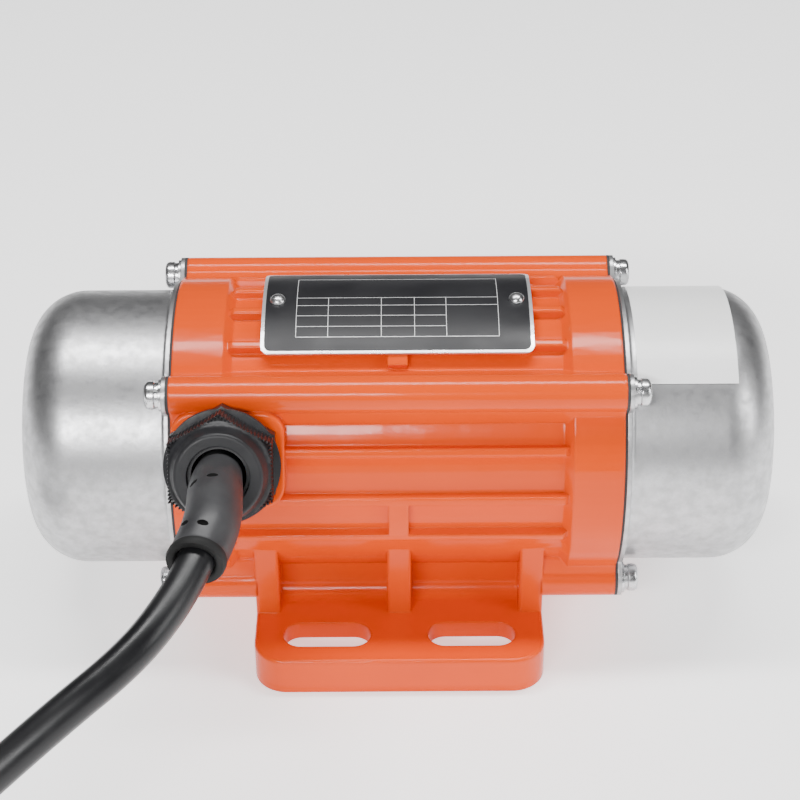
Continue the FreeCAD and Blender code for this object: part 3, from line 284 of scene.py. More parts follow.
WEIGHT_STEEL = Finish("sawn_weight_steel", "weight_steel", (0.16, 0.16, 0.165), (0.1, 0.095, 0.09),
                      (0.45, 0.62), metallic=0.9, mottle_scale=60, grain=Grain.LENGTHWISE,
                      wave_scale=700, bump=0.00006)
PLATE_BLACK = Finish("anodised_plate_black", "plate_black", (0.012, 0.012, 0.014), (0.019, 0.019, 0.021),
                     (0.34, 0.46), specular=0.3, mottle_scale=60, speck_scale=1400, speck_amount=0.2,
                     wave_scale=40, grain_scale=2600, bump=0.00001)
PLATE_EDGE = Finish("bare_plate_aluminium", "plate_black", (0.86, 0.86, 0.87), (0.76, 0.76, 0.77),
                    (0.25, 0.36), metallic=0.75, mottle_scale=150, wave_scale=700, bump=0.00002)
PRINT_WHITE = Finish("etched_line_silver", "plate_black", (0.8, 0.8, 0.8), (0.66, 0.66, 0.67), (0.35, 0.5),
                     metallic=0.2, mottle_scale=400, bump=0.00001)
LABEL_PAPER = Finish("coated_label_paper", "label_paper", (0.92, 0.92, 0.92), (0.87, 0.87, 0.86),
                     (0.32, 0.42), mottle_scale=30, speck_scale=1800, speck_amount=0.1, wave_scale=30,
                     grain_scale=1600, grain_share=0.15, bump=0.00002, coat=0.15, coat_roughness=0.25)
GLAND_PLASTIC = Finish("moulded_gland_plastic", "gland_plastic", (0.009, 0.009, 0.01),
                       (0.015, 0.015, 0.017), (0.36, 0.52), specular=0.35, mottle_scale=90, speck_scale=1500,
                       wave_scale=300, grain_scale=2400, grain_share=0.5, bump=0.00006, edge_radius=0.0005)
BOOT_RUBBER = Finish("moulded_boot_rubber", "boot_rubber", (0.026, 0.026, 0.028), (0.038, 0.038, 0.04),
                     (0.4, 0.52), specular=0.4, mottle_scale=110, wave_scale=200, grain_scale=1900)
# Near-black rubber: painted shade on the slots' inner walls and in the boot's hollow mouth; the end collar is
# also darker in it.
BOOT_PAINTED_SHADE = Finish("boot_slot_shade", "boot_rubber", (0.005, 0.005, 0.005), (0.008, 0.008, 0.008),
                    (0.6, 0.75), specular=0.3, mottle_scale=150, bump=0.00003)
CABLE_JACKET = Finish("cable_jacket_rubber", "cable_jacket", (0.006, 0.006, 0.007),
                      (0.011, 0.011, 0.012), (0.3, 0.42), specular=0.35, mottle_scale=60, speck_scale=900,
                      wave_scale=110, grain_scale=1500, grain_share=0.35, bump=0.00007)
FERRULE_TIN = Finish("ferrule_tin", "ferrule_tin", (0.78, 0.78, 0.76), (0.66, 0.66, 0.65), (0.22, 0.35),
                     metallic=1.0, mottle_scale=400, bump=0.00002)
TIE_STRAP = Finish("tie_strap_nylon", "tie_strap", (0.03, 0.03, 0.034), (0.05, 0.05, 0.055),
                   (0.45, 0.6), mottle_scale=300, grain=Grain.TURNED, wave_scale=1200, bump=0.00008)
CORE_COLOURS = {
    "brown": ((0.14, 0.045, 0.018), (0.11, 0.035, 0.014)),
    "blue": ((0.02, 0.09, 0.42), (0.016, 0.075, 0.36)),
    "black": ((0.012, 0.012, 0.013), (0.02, 0.02, 0.022)),
    "green": ((0.04, 0.32, 0.05), (0.55, 0.52, 0.03)),
}


def core_finish(name: str) -> Finish:
    """Give the finish of one insulated core."""
    colour, tint = CORE_COLOURS[name]
    return Finish(f"core_insulation_{name}", "core_insulation", colour, tint, (0.25, 0.36),
                  mottle_scale=200, bump=0.00002)


# Shapes

def across(heading: Vector) -> tuple[Vector, Vector]:
    """Give two directions that are square to a heading and to each other."""
    side = heading.cross(Vector((1, 0, 0))).normalized()
    return side, heading.cross(side).normalized()


def ring(form: Form, centre: Vector, heading: Vector, radius: float, steps: int) -> list[bmesh.types.BMVert]:
    """Add the points of a circle that faces a heading; its radius in millimetres can be 0 for one point."""
    side, other = across(heading)
    return [form.verts.new(centre + (side * math.cos(turn) + other * math.sin(turn)) * radius * MM)
            for turn in (math.tau * step / steps for step in range(steps if radius else 1))]


def loft(form: Form, rings: list[list[bmesh.types.BMVert]]) -> list[bmesh.types.BMFace]:
    """Bridge closed rings of points one after the other, and close the first and the last.

    Args:
        form: the shape that gets the faces.
        rings: the rings; one point alone makes a pole.

    Returns:
        The bridging faces in order.
    """
    faces = []
    for low, high in zip(rings, rings[1:]):
        steps = max(len(low), len(high))
        for step in range(steps):
            after = (step + 1) % steps
            corners = [low[step % len(low)], low[after % len(low)],
                       high[after % len(high)], high[step % len(high)]]
            faces.append(form.faces.new(list(dict.fromkeys(corners))))
    for end in (rings[0][::-1], rings[-1]):
        if len(end) > 1:
            form.faces.new(end)
    return faces


def to_mesh(form: Form, name: str, crisp: float = 0.0, outward: bool = True) -> Mesh:
    """Turn a shape into a mesh.

    Args:
        form: the shape, which is freed.
        name: the mesh's name.
        crisp: edges sharper than this angle stay crisp and the rest is smooth; 0 leaves all faces flat.
        outward: whether its faces are turned outward first.

    Returns:
        The mesh.
    """
    if outward:
        bmesh.ops.recalc_face_normals(form, faces=form.faces)
    mesh = bpy.data.meshes.new(name)
    form.to_mesh(mesh)
    form.free()
    if crisp:
        soften(mesh, crisp)
    return mesh


def soften(mesh: Mesh, crisp: float) -> Mesh:
    """Shade a mesh smooth, apart from edges sharper than an angle."""
    mesh.shade_smooth()
    mesh.set_sharp_from_angle(angle=math.radians(crisp))
    return mesh


def spun(name: str, outline: list[Pair], steps: int) -> Mesh:
    """Turn an outline of (radius, height) pairs in millimetres about Z, from pole to pole."""
    form = bmesh.new()
    upright = Vector((0, 0, 1))
    loft(form, [ring(form, upright * height * MM, upright, radius, steps) for radius, height in outline])
    return to_mesh(form, name)


def between(rows: tuple[tuple[float, ...], ...], key: float) -> list[float]:
    """Read a table, whose rows start with a key, at a key between two of its rows."""
    for (first, *near), (last, *far) in zip(rows, rows[1:]):
        if min(first, last) <= key <= max(first, last):
            share = (key - first) / (last - first)
            return [low + (high - low) * share for low, high in zip(near, far)]
    raise ValueError(f"{key} is outside the table")


def node_form(node: str) -> Form:
    """Read a node's mesh and join its loose triangles."""
    form = bmesh.new()
    form.from_mesh(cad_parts[node].data)
    bmesh.ops.remove_doubles(form, verts=form.verts, dist=MERGE_DISTANCE)
    return form


# Pieces

def link(name: str, data: bpy.types.ID) -> Piece:
    """Put data in the scene as an object."""
    made = bpy.data.objects.new(name, data)
    bpy.context.scene.collection.objects.link(made)
    return made


def baked(name: str, work: Piece, *tools: Piece) -> Mesh:
    """Keep a scratch object's finished shape as a mesh, and remove the object and its tools."""
    graph = bpy.context.evaluated_depsgraph_get()
    mesh = bpy.data.meshes.new_from_object(work.evaluated_get(graph), depsgraph=graph)
    mesh.name = name
    work.modifiers.clear()
    for thing in (work, *tools):
        bpy.data.objects.remove(thing, do_unlink=True)
    return mesh


def settle(piece: Piece, finish: Finish, *nodes: str) -> Piece:
    """Fix a piece to the root body, in place of the nodes it stands for."""
    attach(piece, "root")
    if nodes:
        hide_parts(*nodes)
    return piece


def add_piece(name: str, mesh: Mesh, finish: Finish, *nodes: str) -> Piece:
    """Make a mesh, with its place in it, a settled piece in one finish."""
    mesh.materials.clear()
    mesh.materials.append(finish.material())
    return settle(link(name, mesh), finish, *nodes)


def merged_copy(name: str, node: str, finish: Finish, crisp: float = 32.0) -> Piece:
    """Copy a node, shade it smooth and weigh its corners by face area, so that flats stay flat.

    Args:
        name: the piece's name.
        node: the node to copy and replace.
        finish: the piece's finish.
        crisp: edges sharper than this angle stay crisp.

    Returns:
        The piece.
    """
    work = link(name, to_mesh(node_form(node), name, crisp, outward=False))
    step = work.modifiers.new("weigh", "WEIGHTED_NORMAL")
    step.mode = "FACE_AREA"
    step.weight = FACE_WEIGHT
    step.keep_sharp = True
    return add_piece(name, baked(name, work), finish, node)


def cut_away(name: str, base: Mesh, cutters: list[Mesh], crisp: float) -> Mesh:
    """Cut meshes out of a base mesh and shade the rest smooth."""
    work = link(name, base)
    tools = [link(f"{name}_tool", cutter) for cutter in cutters]
    for tool in tools:
        step = work.modifiers.new("cut", "BOOLEAN")
        step.operation = "DIFFERENCE"
        step.solver = "EXACT"
        step.object = tool
    return soften(baked(name, work, *tools), crisp)


# Geometry Nodes

def shape_tree(name: str, inputs: dict[str, object]) -> Opened:
    """Start a geometry tree that spreads a given piece, and turns and moves the whole into place."""
    return open_tree(name, "GeometryNodeTree", {
        **inputs, "Turn": "NodeSocketVector", "Place": "NodeSocketVector", "Finish": "NodeSocketMaterial",
        "Piece": "NodeSocketObject"}, {"Geometry": "NodeSocketGeometry"})


def close_tree(opened: Opened, points: Socket, turns: dict[str, Socket]) -> Tree:
    """End a tree with the piece set on points, realised, moved into place and given its material."""
    tree, given, end = opened
    piece = add_node(tree, "GeometryNodeObjectInfo", {"Object": given["Piece"]})
    spread = add_node(tree, "GeometryNodeInstanceOnPoints",
                      {"Points": points, "Instance": piece.outputs["Geometry"], **turns})
    real = add_node(tree, "GeometryNodeRealizeInstances", {"Geometry": spread.outputs["Instances"]})
    move = add_node(tree, "GeometryNodeTransform", {
        "Geometry": real.outputs["Geometry"], "Rotation": given["Turn"], "Translation": given["Place"]})
    dress = add_node(tree, "GeometryNodeSetMaterial", {"Geometry": move.outputs["Geometry"],
                                                       "Material": given["Finish"]})
    feed(tree, end, {"Geometry": dress.outputs["Geometry"]})
    return tree


def along_axis(tree: Tree, axis: str, value: Socket) -> Socket:
    """Make a vector of a number along one axis."""
    return add_node(tree, "ShaderNodeCombineXYZ", {axis: value}).outputs["Vector"]


def turned_circle(tree: Tree, count: Socket, radius: Socket, angle: Socket) -> Socket:
    """Add a circle of points that starts at an angle."""
    circle = add_node(tree, "GeometryNodeMeshCircle", {"Vertices": count, "Radius": radius})
    return add_node(tree, "GeometryNodeTransform", {
        "Geometry": circle.outputs["Mesh"], "Rotation": along_axis(tree, "Z", angle)}).outputs["Geometry"]


def bolt_circle_tree() -> Tree:
    """Build the tree that sets one piece at even steps round a circle."""
    opened = tree, given, _ = shape_tree("bolt_circle", {
        "Count": 4, "Radius": 0.04, "First Angle": 0.785, "Piece Turn": 0.4})
    circle = turned_circle(tree, given["Count"], given["Radius"], given["First Angle"])
    index = add_node(tree, "GeometryNodeInputIndex").outputs["Index"]
    spin = along_axis(tree, "Z", sum_of(tree, "MULTIPLY", index, given["Piece Turn"]))
    return close_tree(opened, circle, {"Rotation": spin})


def row_tree() -> Tree:
    """Build the tree that sets one piece at even steps along X."""
    opened = tree, given, _ = shape_tree("even_row", {"Count": 2, "Pitch": 0.06})
    length = sum_of(tree, "MULTIPLY", sum_of(tree, "SUBTRACT", given["Count"], 1.0), given["Pitch"])
    line = add_node(tree, "GeometryNodeMeshLine", {
        "Count": given["Count"], "Offset": along_axis(tree, "X", given["Pitch"]),
        "Start Location": along_axis(tree, "X", sum_of(tree, "MULTIPLY", length, -0.5))})
    return close_tree(opened, line.outputs["Mesh"], {})


def flat_ribs_tree() -> Tree:
    """Build the tree that sets grip ribs at even steps round a many-sided outline."""
    opened = tree, given, _ = shape_tree("grip_ribs", {
        "Sides": 6, "Corner Radius": 0.015, "First Angle": 0.5236, "Count": 60})
    outline = turned_circle(tree, given["Sides"], given["Corner Radius"], given["First Angle"])
    path = add_node(tree, "GeometryNodeMeshToCurve", {"Mesh": outline})
    points = add_node(tree, "GeometryNodeCurveToPoints", {"Curve": path.outputs["Curve"],
                                                          "Count": given["Count"]})
    face = add_node(tree, "FunctionNodeAlignRotationToVector", {"Vector": points.outputs["Tangent"]},
                    axis="Y", pivot_axis="Z")
    return close_tree(opened, points.outputs["Points"], {"Rotation": face.outputs["Rotation"]})


def spread_piece(name: str, tree: Tree, piece: Mesh, finish: Finish, values: dict[str, object],
                 *nodes: str) -> Piece:
    """Spread a mesh by a geometry tree, with the values of its other inputs, and settle the result."""
    base = link(f"{name}_base", bpy.data.meshes.new(f"{name}_base"))
    one = link(f"{name}_one", piece)
    step = base.modifiers.new("shape", "NODES")
    step.node_group = tree
    sockets = {item.name: item.identifier for item in tree.interface.items_tree if item.in_out == "INPUT"}
    for label, value in {**values, "Finish": finish.material(), "Piece": one}.items():
        step[sockets[label]] = value
    return add_piece(name, baked(name, base, one), finish, *nodes)


# End caps

@dataclass
class EndCaps:
    """Both drawn caps with their gaskets, screws and washers; millimetres, and turns in radians."""

    screw_circle: float = 45.8
    head_radius: float = 4.0
    head_edge: float = 0.25
    head_round: float = 0.45
    head_crown: float = 0.05
    head_sides: int = 40
    shank_radius: float = 1.95
    recess_width: float = 0.95
    recess_depth: float = 1.7
    recess_taper: float = 0.45
    screw_count: int = 4
    first_turn: float = math.radians(45)
    head_turns: dict[Side, float] = field(default_factory=lambda: {Side.LEFT: 0.7, Side.RIGHT: 1.15})
    copies: tuple[tuple[str, str, Finish], ...] = (
        ("drawn_cap", "cap", CAP_STEEL), ("gasket_sheet", "cap_gasket", GASKET),
        ("round_washers", "flat_washers", SCREW_STEEL), ("split_washers", "spring_washers", SCREW_STEEL))

    def screw_mesh(self, tall: float, shank_length: float) -> Mesh:
        """Build one cross-recessed pan head screw along Z, with its seat at the origin and a head so tall."""
        wide, rounding = self.head_radius, tall * self.head_round
        shoulder = [(wide - rounding * (1 - math.sin(turn)), tall - rounding * (1 - math.cos(turn)))
                    for turn in (math.radians(90 - 15 * step) for step in range(7))]
        outline = [(0, -shank_length), (self.shank_radius, -shank_length), (self.shank_radius, 0),
                   (wide - self.head_edge, 0), (wide, self.head_edge), *shoulder,
                   (wide * 0.3, tall + self.head_crown * 0.8), (0, tall + self.head_crown)]
        cutters = []
        for turn in (0.0, 90.0):
            form = bmesh.new()
            bmesh.ops.create_cube(form, size=1.0)
            for corner in form.verts:
                upper = corner.co.z > 0
                reach = 1.0 if upper else self.recess_taper
                corner.co = Vector((corner.co.x * wide * 1.15 * reach,
                                    corner.co.y * self.recess_width * reach,
                                    tall + 0.3 if upper else tall - self.recess_depth)) * MM
            bmesh.ops.rotate(form, verts=form.verts, matrix=Matrix.Rotation(math.radians(turn), 3, "Z"))
            cutters.append(to_mesh(form, "screw_cross"))
        return cut_away("screw", spun("screw_blank", outline, self.head_sides), cutters, 35.0)

    def build(self, tree: Tree) -> None:
        """Build and dress both ends, with their screws set by the bolt circle tree."""
        for side in Side:
            for name, node, finish in self.copies:
                merged_copy(f"{side.word}_{name}", f"{side.word}_{node}", finish)
        for side in Side:
            low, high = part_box(f"{side.word}_cap_screws")
            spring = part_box(f"{side.word}_spring_washers")
            far, near = (high[0], low[0]) if side is Side.RIGHT else (-low[0], -high[0])
            seat = spring[1][0] if side is Side.RIGHT else -spring[0][0]
            screw = self.screw_mesh((far - seat) / MM - self.head_crown, (seat - near) / MM)
            spread_piece(f"{side.word}_pan_screws", tree, screw, SCREW_STEEL, {
                "Count": self.screw_count, "Radius": self.screw_circle * MM,
                "First Angle": self.first_turn, "Piece Turn": self.head_turns[side],
                "Turn": (0.0, math.radians(90 * side.value), 0.0),
                "Place": (seat * side.value, 0.0, AXIS_HEIGHT)}, f"{side.word}_cap_screws")
        LOG.info("end caps: caps, gaskets, washers and %d screws", self.screw_count * 2)


# Nameplate and label

@dataclass
class Nameplate:
    """The curved plate with a bare edge, a black face and generic lines; millimetres and degrees."""

    face_radius: float = 44.5
    half_length: float = 38.0
    half_sweep: float = 26.0
    lean: float = 3.4
    edge: float = 0.95
    corner: float = 1.9
    face_height: float = 0.06
    face_steps: int = 24
    line_width: float = 0.15
    line_heights: Pair = (0.04, 0.09)
    line_step: float = 1.2
    columns: tuple[float, ...] = (-28.3, -19.4, -4.5, 4.8, 13.7, 28.3)
    rows: tuple[float, ...] = (-13.7, 2.0, 6.7, 12.3, 17.6, 22.4)
    rivet_pitch: float = 67.4
    rivet_radius: float = 2.3
    rivet_height: float = 1.75
    rivet_depth: float = 5.8
    rivet_shank: float = 1.08
    rivet_sides: int = 36

    def lift(self, along: float, across_it: float, rise: float) -> Vector:
        """Give the point over the plate at a length along X and an arc length across it."""
        turn = across_it / self.face_radius
        reach = self.face_radius + rise
        return Vector((along, -math.sin(turn) * reach, AXIS_HEIGHT / MM + math.cos(turn) * reach)) * MM

    def face_mesh(self) -> Mesh:
        """Build the black face as a thin curved sheet with round corners."""
        half_long = self.half_length - self.edge
        half_wide = math.radians(self.half_sweep) * self.face_radius - self.edge
        straight = half_long - self.corner
        rounding = [-half_long + self.corner * (1 - math.cos(math.radians(step * 15))) for step in range(7)]
        middle = [-straight + 2 * straight * step / self.face_steps for step in range(1, self.face_steps)]
        form = bmesh.new()
        rings = []
        for along in (*rounding, *middle, *(-value for value in reversed(rounding))):
            inset = max(0.0, abs(along) - straight)
            reach = half_wide - self.corner + math.sqrt(max(0.0, self.corner ** 2 - inset ** 2))
            row = [-reach + 2 * reach * step / self.face_steps for step in range(self.face_steps + 1)]
            rings.append([form.verts.new(self.lift(along, spot, 0.0)) for spot in row]
                         + [form.verts.new(self.lift(along, spot, self.face_height)) for spot in row[::-1]])
        loft(form, rings)
        bmesh.ops.rotate(form, verts=form.verts, cent=(0, 0, AXIS_HEIGHT),
                         matrix=Matrix.Rotation(math.radians(self.lean), 3, "X"))
        return to_mesh(form, "nameplate_face", ROUND_CRISP)

    def strip(self, form: Form, start: Pair, end: Pair) -> None:
        """Add one etched line between two places, each a length along X and an arc length across."""
        run = Vector(end) - Vector(start)
        side = Vector((-run.y, run.x)).normalized() * self.line_width / 2
        low, high = self.line_heights
        steps = max(1, int(abs(run.y) / self.line_step))
        spots = [Vector(start) + run * step / steps for step in range(steps + 1)]
        loft(form, [[form.verts.new(self.lift(spot.x + side.x * way, spot.y + side.y * way, rise))
                     for way, rise in ((-1, low), (1, low), (1, high), (-1, high))] for spot in spots])

    def lines_mesh(self) -> Mesh:
        """Build the frame and the empty table of the plate."""
        form = bmesh.new()
        rows = [math.radians(row) * self.face_radius for row in self.rows]
        left, right, last = self.columns[0], self.columns[-1], self.columns[-2]
        whole_rows = (rows[0], rows[1], rows[2], rows[-1])
        for row in (*whole_rows, *rows[3:-1]):
            self.strip(form, (left, row), (right if row in whole_rows else last, row))
        for column in self.columns:
            top = rows[0] if column in (left, right) else rows[1]
            self.strip(form, (column, top), (column, rows[-1]))
        return to_mesh(form, "nameplate_lines")

    def build(self, tree: Tree) -> None:
        """Build the plate's face, lines and label, and its rivets by the even row tree."""
        merged_copy("nameplate_sheet", "nameplate", PLATE_EDGE)
        add_piece("nameplate_face", self.face_mesh(), PLATE_BLACK)
        add_piece("nameplate_lines", self.lines_mesh(), PRINT_WHITE)
        dome = [(self.rivet_radius * math.sin(math.radians(turn)),
                 self.rivet_height * math.cos(math.radians(turn))) for turn in range(90, 0, -15)]
        outline = [(0, -self.rivet_depth), (self.rivet_shank, -self.rivet_depth), (self.rivet_shank, 0.0),
                   *dome, (0, self.rivet_height)]
        lean = math.radians(self.lean)
        rivet = soften(spun("rivet", outline, self.rivet_sides), ROUND_CRISP)
        spread_piece("nameplate_dome_rivets", tree, rivet, SCREW_STEEL, {
            "Count": 2, "Pitch": self.rivet_pitch * MM, "Turn": (lean, 0.0, 0.0),
            "Place": tuple(self.lift(0.0, lean * self.face_radius, 0.0))}, "nameplate_rivets")
        merged_copy("bare_cap_label", "cap_label", LABEL_PAPER)
        LOG.info("nameplate: sheet, face, lines, rivets, and the bare label")


# Gland, boot and cable

@dataclass
class Gland:
    """The cable gland on its tilted pad; millimetres and degrees."""

    angle: float = 67.5
    offset: float = 47.6
    nut_start: float = 54.0
    nut_length: float = 8.0
    nut_width: float = 27.4
    nut_sides: int = 6
    rib_count: int = 90
    rib_width: float = 0.52
    rib_height: float = 0.34
    rib_gap: float = 0.4

    def spot(self, reach: float) -> Vector:
        """Give the point on the gland's axis at a distance from the shaft's axis."""
        lean = math.radians(self.angle)
        return Vector((-self.offset * MM, -math.sin(lean) * reach * MM,
                       AXIS_HEIGHT + math.cos(lean) * reach * MM))

    def rib_mesh(self) -> Mesh:
        """Build one grip rib along Z, with its round back towards X."""
        form = bmesh.new()
        half, tall = self.rib_width / 2, self.rib_height
        outline = ((-half, -0.25), (-half, 0.1), (-half * 0.4, tall), (half * 0.4, tall), (half, 0.1),
                   (half, -0.25))
        reach = self.nut_length / 2 - self.rib_gap
        loft(form, [[form.verts.new(Vector((height, wide, end * reach)) * MM) for wide, height in outline]
                    for end in (-1, 1)])
        return to_mesh(form, "grip_rib")

    def build(self, tree: Tree) -> list[Piece]:
        """Dress the gland and add the nut's ribs by the grip ribs tree, and give the pieces on the cable."""
        pieces = [merged_copy("gland_sealing_ring", "gland_seal", GASKET),
                  merged_copy("gland_hex_body", "gland_body", GLAND_PLASTIC),
                  merged_copy("gland_nut", "gland_cap_nut", GLAND_PLASTIC),
                  merged_copy("gland_grommet_ring", "gland_grommet", BOOT_RUBBER)]
        half_side = math.pi / self.nut_sides
        ribs = spread_piece("gland_nut_ribs", tree, self.rib_mesh(), GLAND_PLASTIC, {
            "Sides": self.nut_sides, "Corner Radius": self.nut_width / 2 / math.cos(half_side) * MM,
            "First Angle": half_side, "Count": self.rib_count, "Turn": (math.radians(self.angle), 0.0, 0.0),
            "Place": tuple(self.spot(self.nut_start + self.nut_length / 2))})
        LOG.info("gland: body, nut and %d ribs", self.rib_count)
        return [*pieces, ribs]


@dataclass
class Cable:
    """The cable from the gland to its bare end, with its boot, coil and tie; millimetres and degrees."""

    gland: Gland
    diameter: float = 9.5
    starts: Triple = (32.5, 55.0, 74.0)
    boot_bend: Triple = (-46.8, -85.0, 82.2)
    boot_end: Triple = (-49.8, -95.0, 79.2)
    lead: tuple[Triple, ...] = (
        (-55.8, -110.0, 74.7), (-65.3, -123.1, 69.4), (-81.8, -135.5, 61.9), (-101.2, -148.1, 50.1),
        (-121.2, -158.7, 35.4), (-141.9, -167.9, 20.7), (-163.6, -175.0, 10.5), (-184.8, -178.2, 5.5))
    boot_radius: float = 7.4
    boot_reach: float = 0.14
    boot_face: float = 0.75
    boot_sides: int = 48
    boot_steps: int = 90
    boot_collar: float = 0.95
    boot_profile: tuple[Pair, ...] = ((0.0, -1.5), (0.2, -1.0), (0.45, -0.2), (0.7, -0.05), (0.955, -0.05),
                                      (0.96, 0.2), (0.995, 0.2), (1.0, -0.1))
    boot_mouth: tuple[Pair, ...] = ((6.8, 0.05), (5.8, 0.1), (5.3, 0.5), (4.5, 3.0))
    slot_rows: Pair = (0.52, 0.843)
    slot_turns: tuple[float, ...] = (2.0, 47.0, 182.0, 227.0)
    slot_half: Triple = (1.5, 0.85, 1.6)
    slot_sink: float = 0.3
    coil_centre: Pair = (-190.0, -121.5)
    coil_steps: int = 18
    coil_stations: tuple[Triple, ...] = (
        (-100, 57.2, 4.8), (-430, 57.2, 4.8), (-500, 47.4, 4.8), (-745, 47.4, 4.8), (-800, 52.0, 13.6),
        (-830, 52.3, 14.5), (-875, 52.3, 13.3), (-1020, 52.3, 13.06))
    tail_length: float = 30.0
    tied_turns: tuple[Pair, ...] = ((47.4, 4.8), (52.3, 13.2), (57.2, 4.8))
    tie_turn: float = 75.0
    tie_width: float = 4.6
    tie_thickness: float = 0.9
    tie_gap: float = 0.15
    tie_lock: Triple = (6.4, 6.0, 4.2)

    def coil_point(self, angle: float, radius: float, rise: float, onward: float = 0.0) -> Vector:
        """Give a point of the coil, or a point straight onward from it."""
        turn = math.radians(angle)
        return Vector((self.coil_centre[0] + math.cos(turn) * radius + math.sin(turn) * onward,
                       self.coil_centre[1] + math.sin(turn) * radius - math.cos(turn) * onward, rise)) * MM

    def coil_points(self) -> list[Vector]:
        """Give the coil's turns and its straight tail as more points of the cable's own route."""
        widening = 1 / math.cos(math.pi / self.coil_steps)
        step = 360 / self.coil_steps
        start, end = self.coil_stations[0][0], self.coil_stations[-1]
        points = []
        for number in range(int((start - end[0]) / step)):
            angle = start - step * number
            radius, rise = between(self.coil_stations, angle)
            points.append(self.coil_point(angle, radius * widening, rise))
        return points + [self.coil_point(*end, self.tail_length * share) for share in (0.0, 0.5, 1.0)]

    def route(self) -> list[Vector]:
        """Give every point of the cable's route in metres."""
        fixed = [Vector(point) * MM for point in (self.boot_bend, self.boot_end, *self.lead)]
        return [self.gland.spot(reach) for reach in self.starts] + fixed + self.coil_points()

    def curve(self, name: str, radius: float) -> Piece:
        """Build the route as one open NURBS curve, with a thickness or, at radius 0, as a bare line."""
        data = bpy.data.curves.new(name, "CURVE")
        data.dimensions = "3D"
        data.resolution_u = 10
        data.bevel_depth = radius
        data.bevel_resolution = 5
        data.use_fill_caps = True
        line = data.splines.new("NURBS")
        points = self.route()
        line.points.add(len(points) - 1)
        for point, place in zip(line.points, points):
            point.co = (*place, 1.0)
        line.order_u = 3
        line.use_endpoint_u = True
        return link(name, data)

    def slot_mesh(self, place: Vector, heading: Vector, angle: float) -> Mesh:
        """Build the egg-shaped tool for one slot, at an angle round the boot's place and heading."""
        side, other = across(heading)
        turn = math.radians(angle)
        out = side * math.cos(turn) + other * math.sin(turn)
        turned = Matrix((heading.cross(out).normalized(), heading, out)).transposed().to_4x4()
        shift = Matrix.Translation(place + out * (self.boot_radius - self.slot_sink) * MM)
        form = bmesh.new()
        size = Matrix.Diagonal((*(Vector(self.slot_half) * MM), 1.0))
        bmesh.ops.create_uvsphere(form, u_segments=20, v_segments=12, radius=1.0,
                                  matrix=shift @ turned @ size)
        # The tool's faces become the slot's inner walls, in the near-black rubber that paints the shade
        # inside the slot.
        for face in form.faces:
            face.material_index = 1
        return to_mesh(form, "boot_slot")

    def boot_mesh(self, line: list[Vector]) -> Mesh:
        """Build the boot along the cable's line, with its end collar, its mouth and its oval slots."""
        start = self.gland.spot(self.starts[1])
        end = Vector(self.boot_end).lerp(Vector(self.lead[0]), self.boot_reach) * MM
        first = min(range(len(line)), key=lambda item: (line[item] - start).length)
        last = min(range(len(line)), key=lambda item: (line[item] - end).length)
        lengths = [0.0]
        for before, after in zip(line[first:last], line[first + 1:last + 1]):
            lengths.append(lengths[-1] + (after - before).length)

        def at(share: float) -> tuple[Vector, Vector]:
            """Give the place and the heading at a share of the boot's length."""
            reach = share * lengths[-1]
            step = max(1, next(number for number, done in enumerate(lengths) if done >= reach - 1e-9))
            part = (reach - lengths[step - 1]) / (lengths[step] - lengths[step - 1])
            before, after = line[first + step - 1], line[first + step]
            return before.lerp(after, part), (after - before).normalized()

        form = bmesh.new()
        rings = []
        for number in range(self.boot_steps + 1):
            share = number / self.boot_steps
            radius = self.boot_radius + between(self.boot_profile, share)[0]
            heading = at(min(share, self.boot_face))[1]
            rings.append(ring(form, at(share)[0], heading, radius, self.boot_sides))
        heading = at(self.boot_face)[1]
        rings += [ring(form, at(1.0)[0] - heading * depth * MM, heading, radius, self.boot_sides)
                  for radius, depth in self.boot_mouth]
        # The end collar and the hollow mouth take the near-black rubber; in the mouth's hollow it is painted
        # shade.
        for number, face in enumerate(loft(form, rings)):
            face.material_index = int(number // self.boot_sides >= self.boot_collar * self.boot_steps)
        solid = to_mesh(form, "boot_solid")
        cutters = [self.slot_mesh(*at(share), angle) for share in self.slot_rows for angle in self.slot_turns]
        for mesh in (solid, *cutters):
            mesh.materials.append(BOOT_RUBBER.material())
            mesh.materials.append(BOOT_PAINTED_SHADE.material())
        return cut_away("cable_boot_sleeve", solid, cutters, ROUND_CRISP)

    def tie_mesh(self) -> Mesh:
        """Build the strap over the three tied turns, with its lock on the upper turn."""
        inner, upper, outer = self.tied_turns
        lean = math.degrees(math.atan2(upper[1] - inner[1], upper[0] - inner[0]))
        reach = self.diameter / 2 + self.tie_gap
        half, thick = self.tie_width / 2, self.tie_thickness
        form = bmesh.new()
        rings = []
        for centre, first, last in ((inner, 225, 90 + lean), (upper, 90 + lean, 90 - lean),
                                    (outer, 90 - lean, -45)):
            for step in range(9):
                turn = math.radians(first + (last - first) * step / 8)
                rings.append([form.verts.new((wide, centre[0] + math.cos(turn) * (reach + rise),
                                              centre[1] + math.sin(turn) * (reach + rise)))
                              for wide, rise in ((-half, 0), (half, 0), (half, thick), (-half, thick))])
        loft(form, rings)
        lock = bmesh.ops.create_cube(form, size=1.0)["verts"]
        bmesh.ops.scale(form, vec=self.tie_lock, verts=lock)
        bmesh.ops.translate(form, vec=(0, upper[0], upper[1] + reach + self.tie_lock[2] / 2), verts=lock)
        edges = list(dict.fromkeys(edge for corner in lock for edge in corner.link_edges))
        bmesh.ops.bevel(form, geom=edges, offset=0.6, segments=3, profile=0.5, affect="EDGES")
        place = (Matrix.Scale(MM, 4) @ Matrix.Translation((*self.coil_centre, 0))
                 @ Matrix.Rotation(math.radians(self.tie_turn), 4, "Z"))
        bmesh.ops.transform(form, matrix=place, verts=form.verts)
        return to_mesh(form, "coil_tie_strap", ROUND_CRISP)

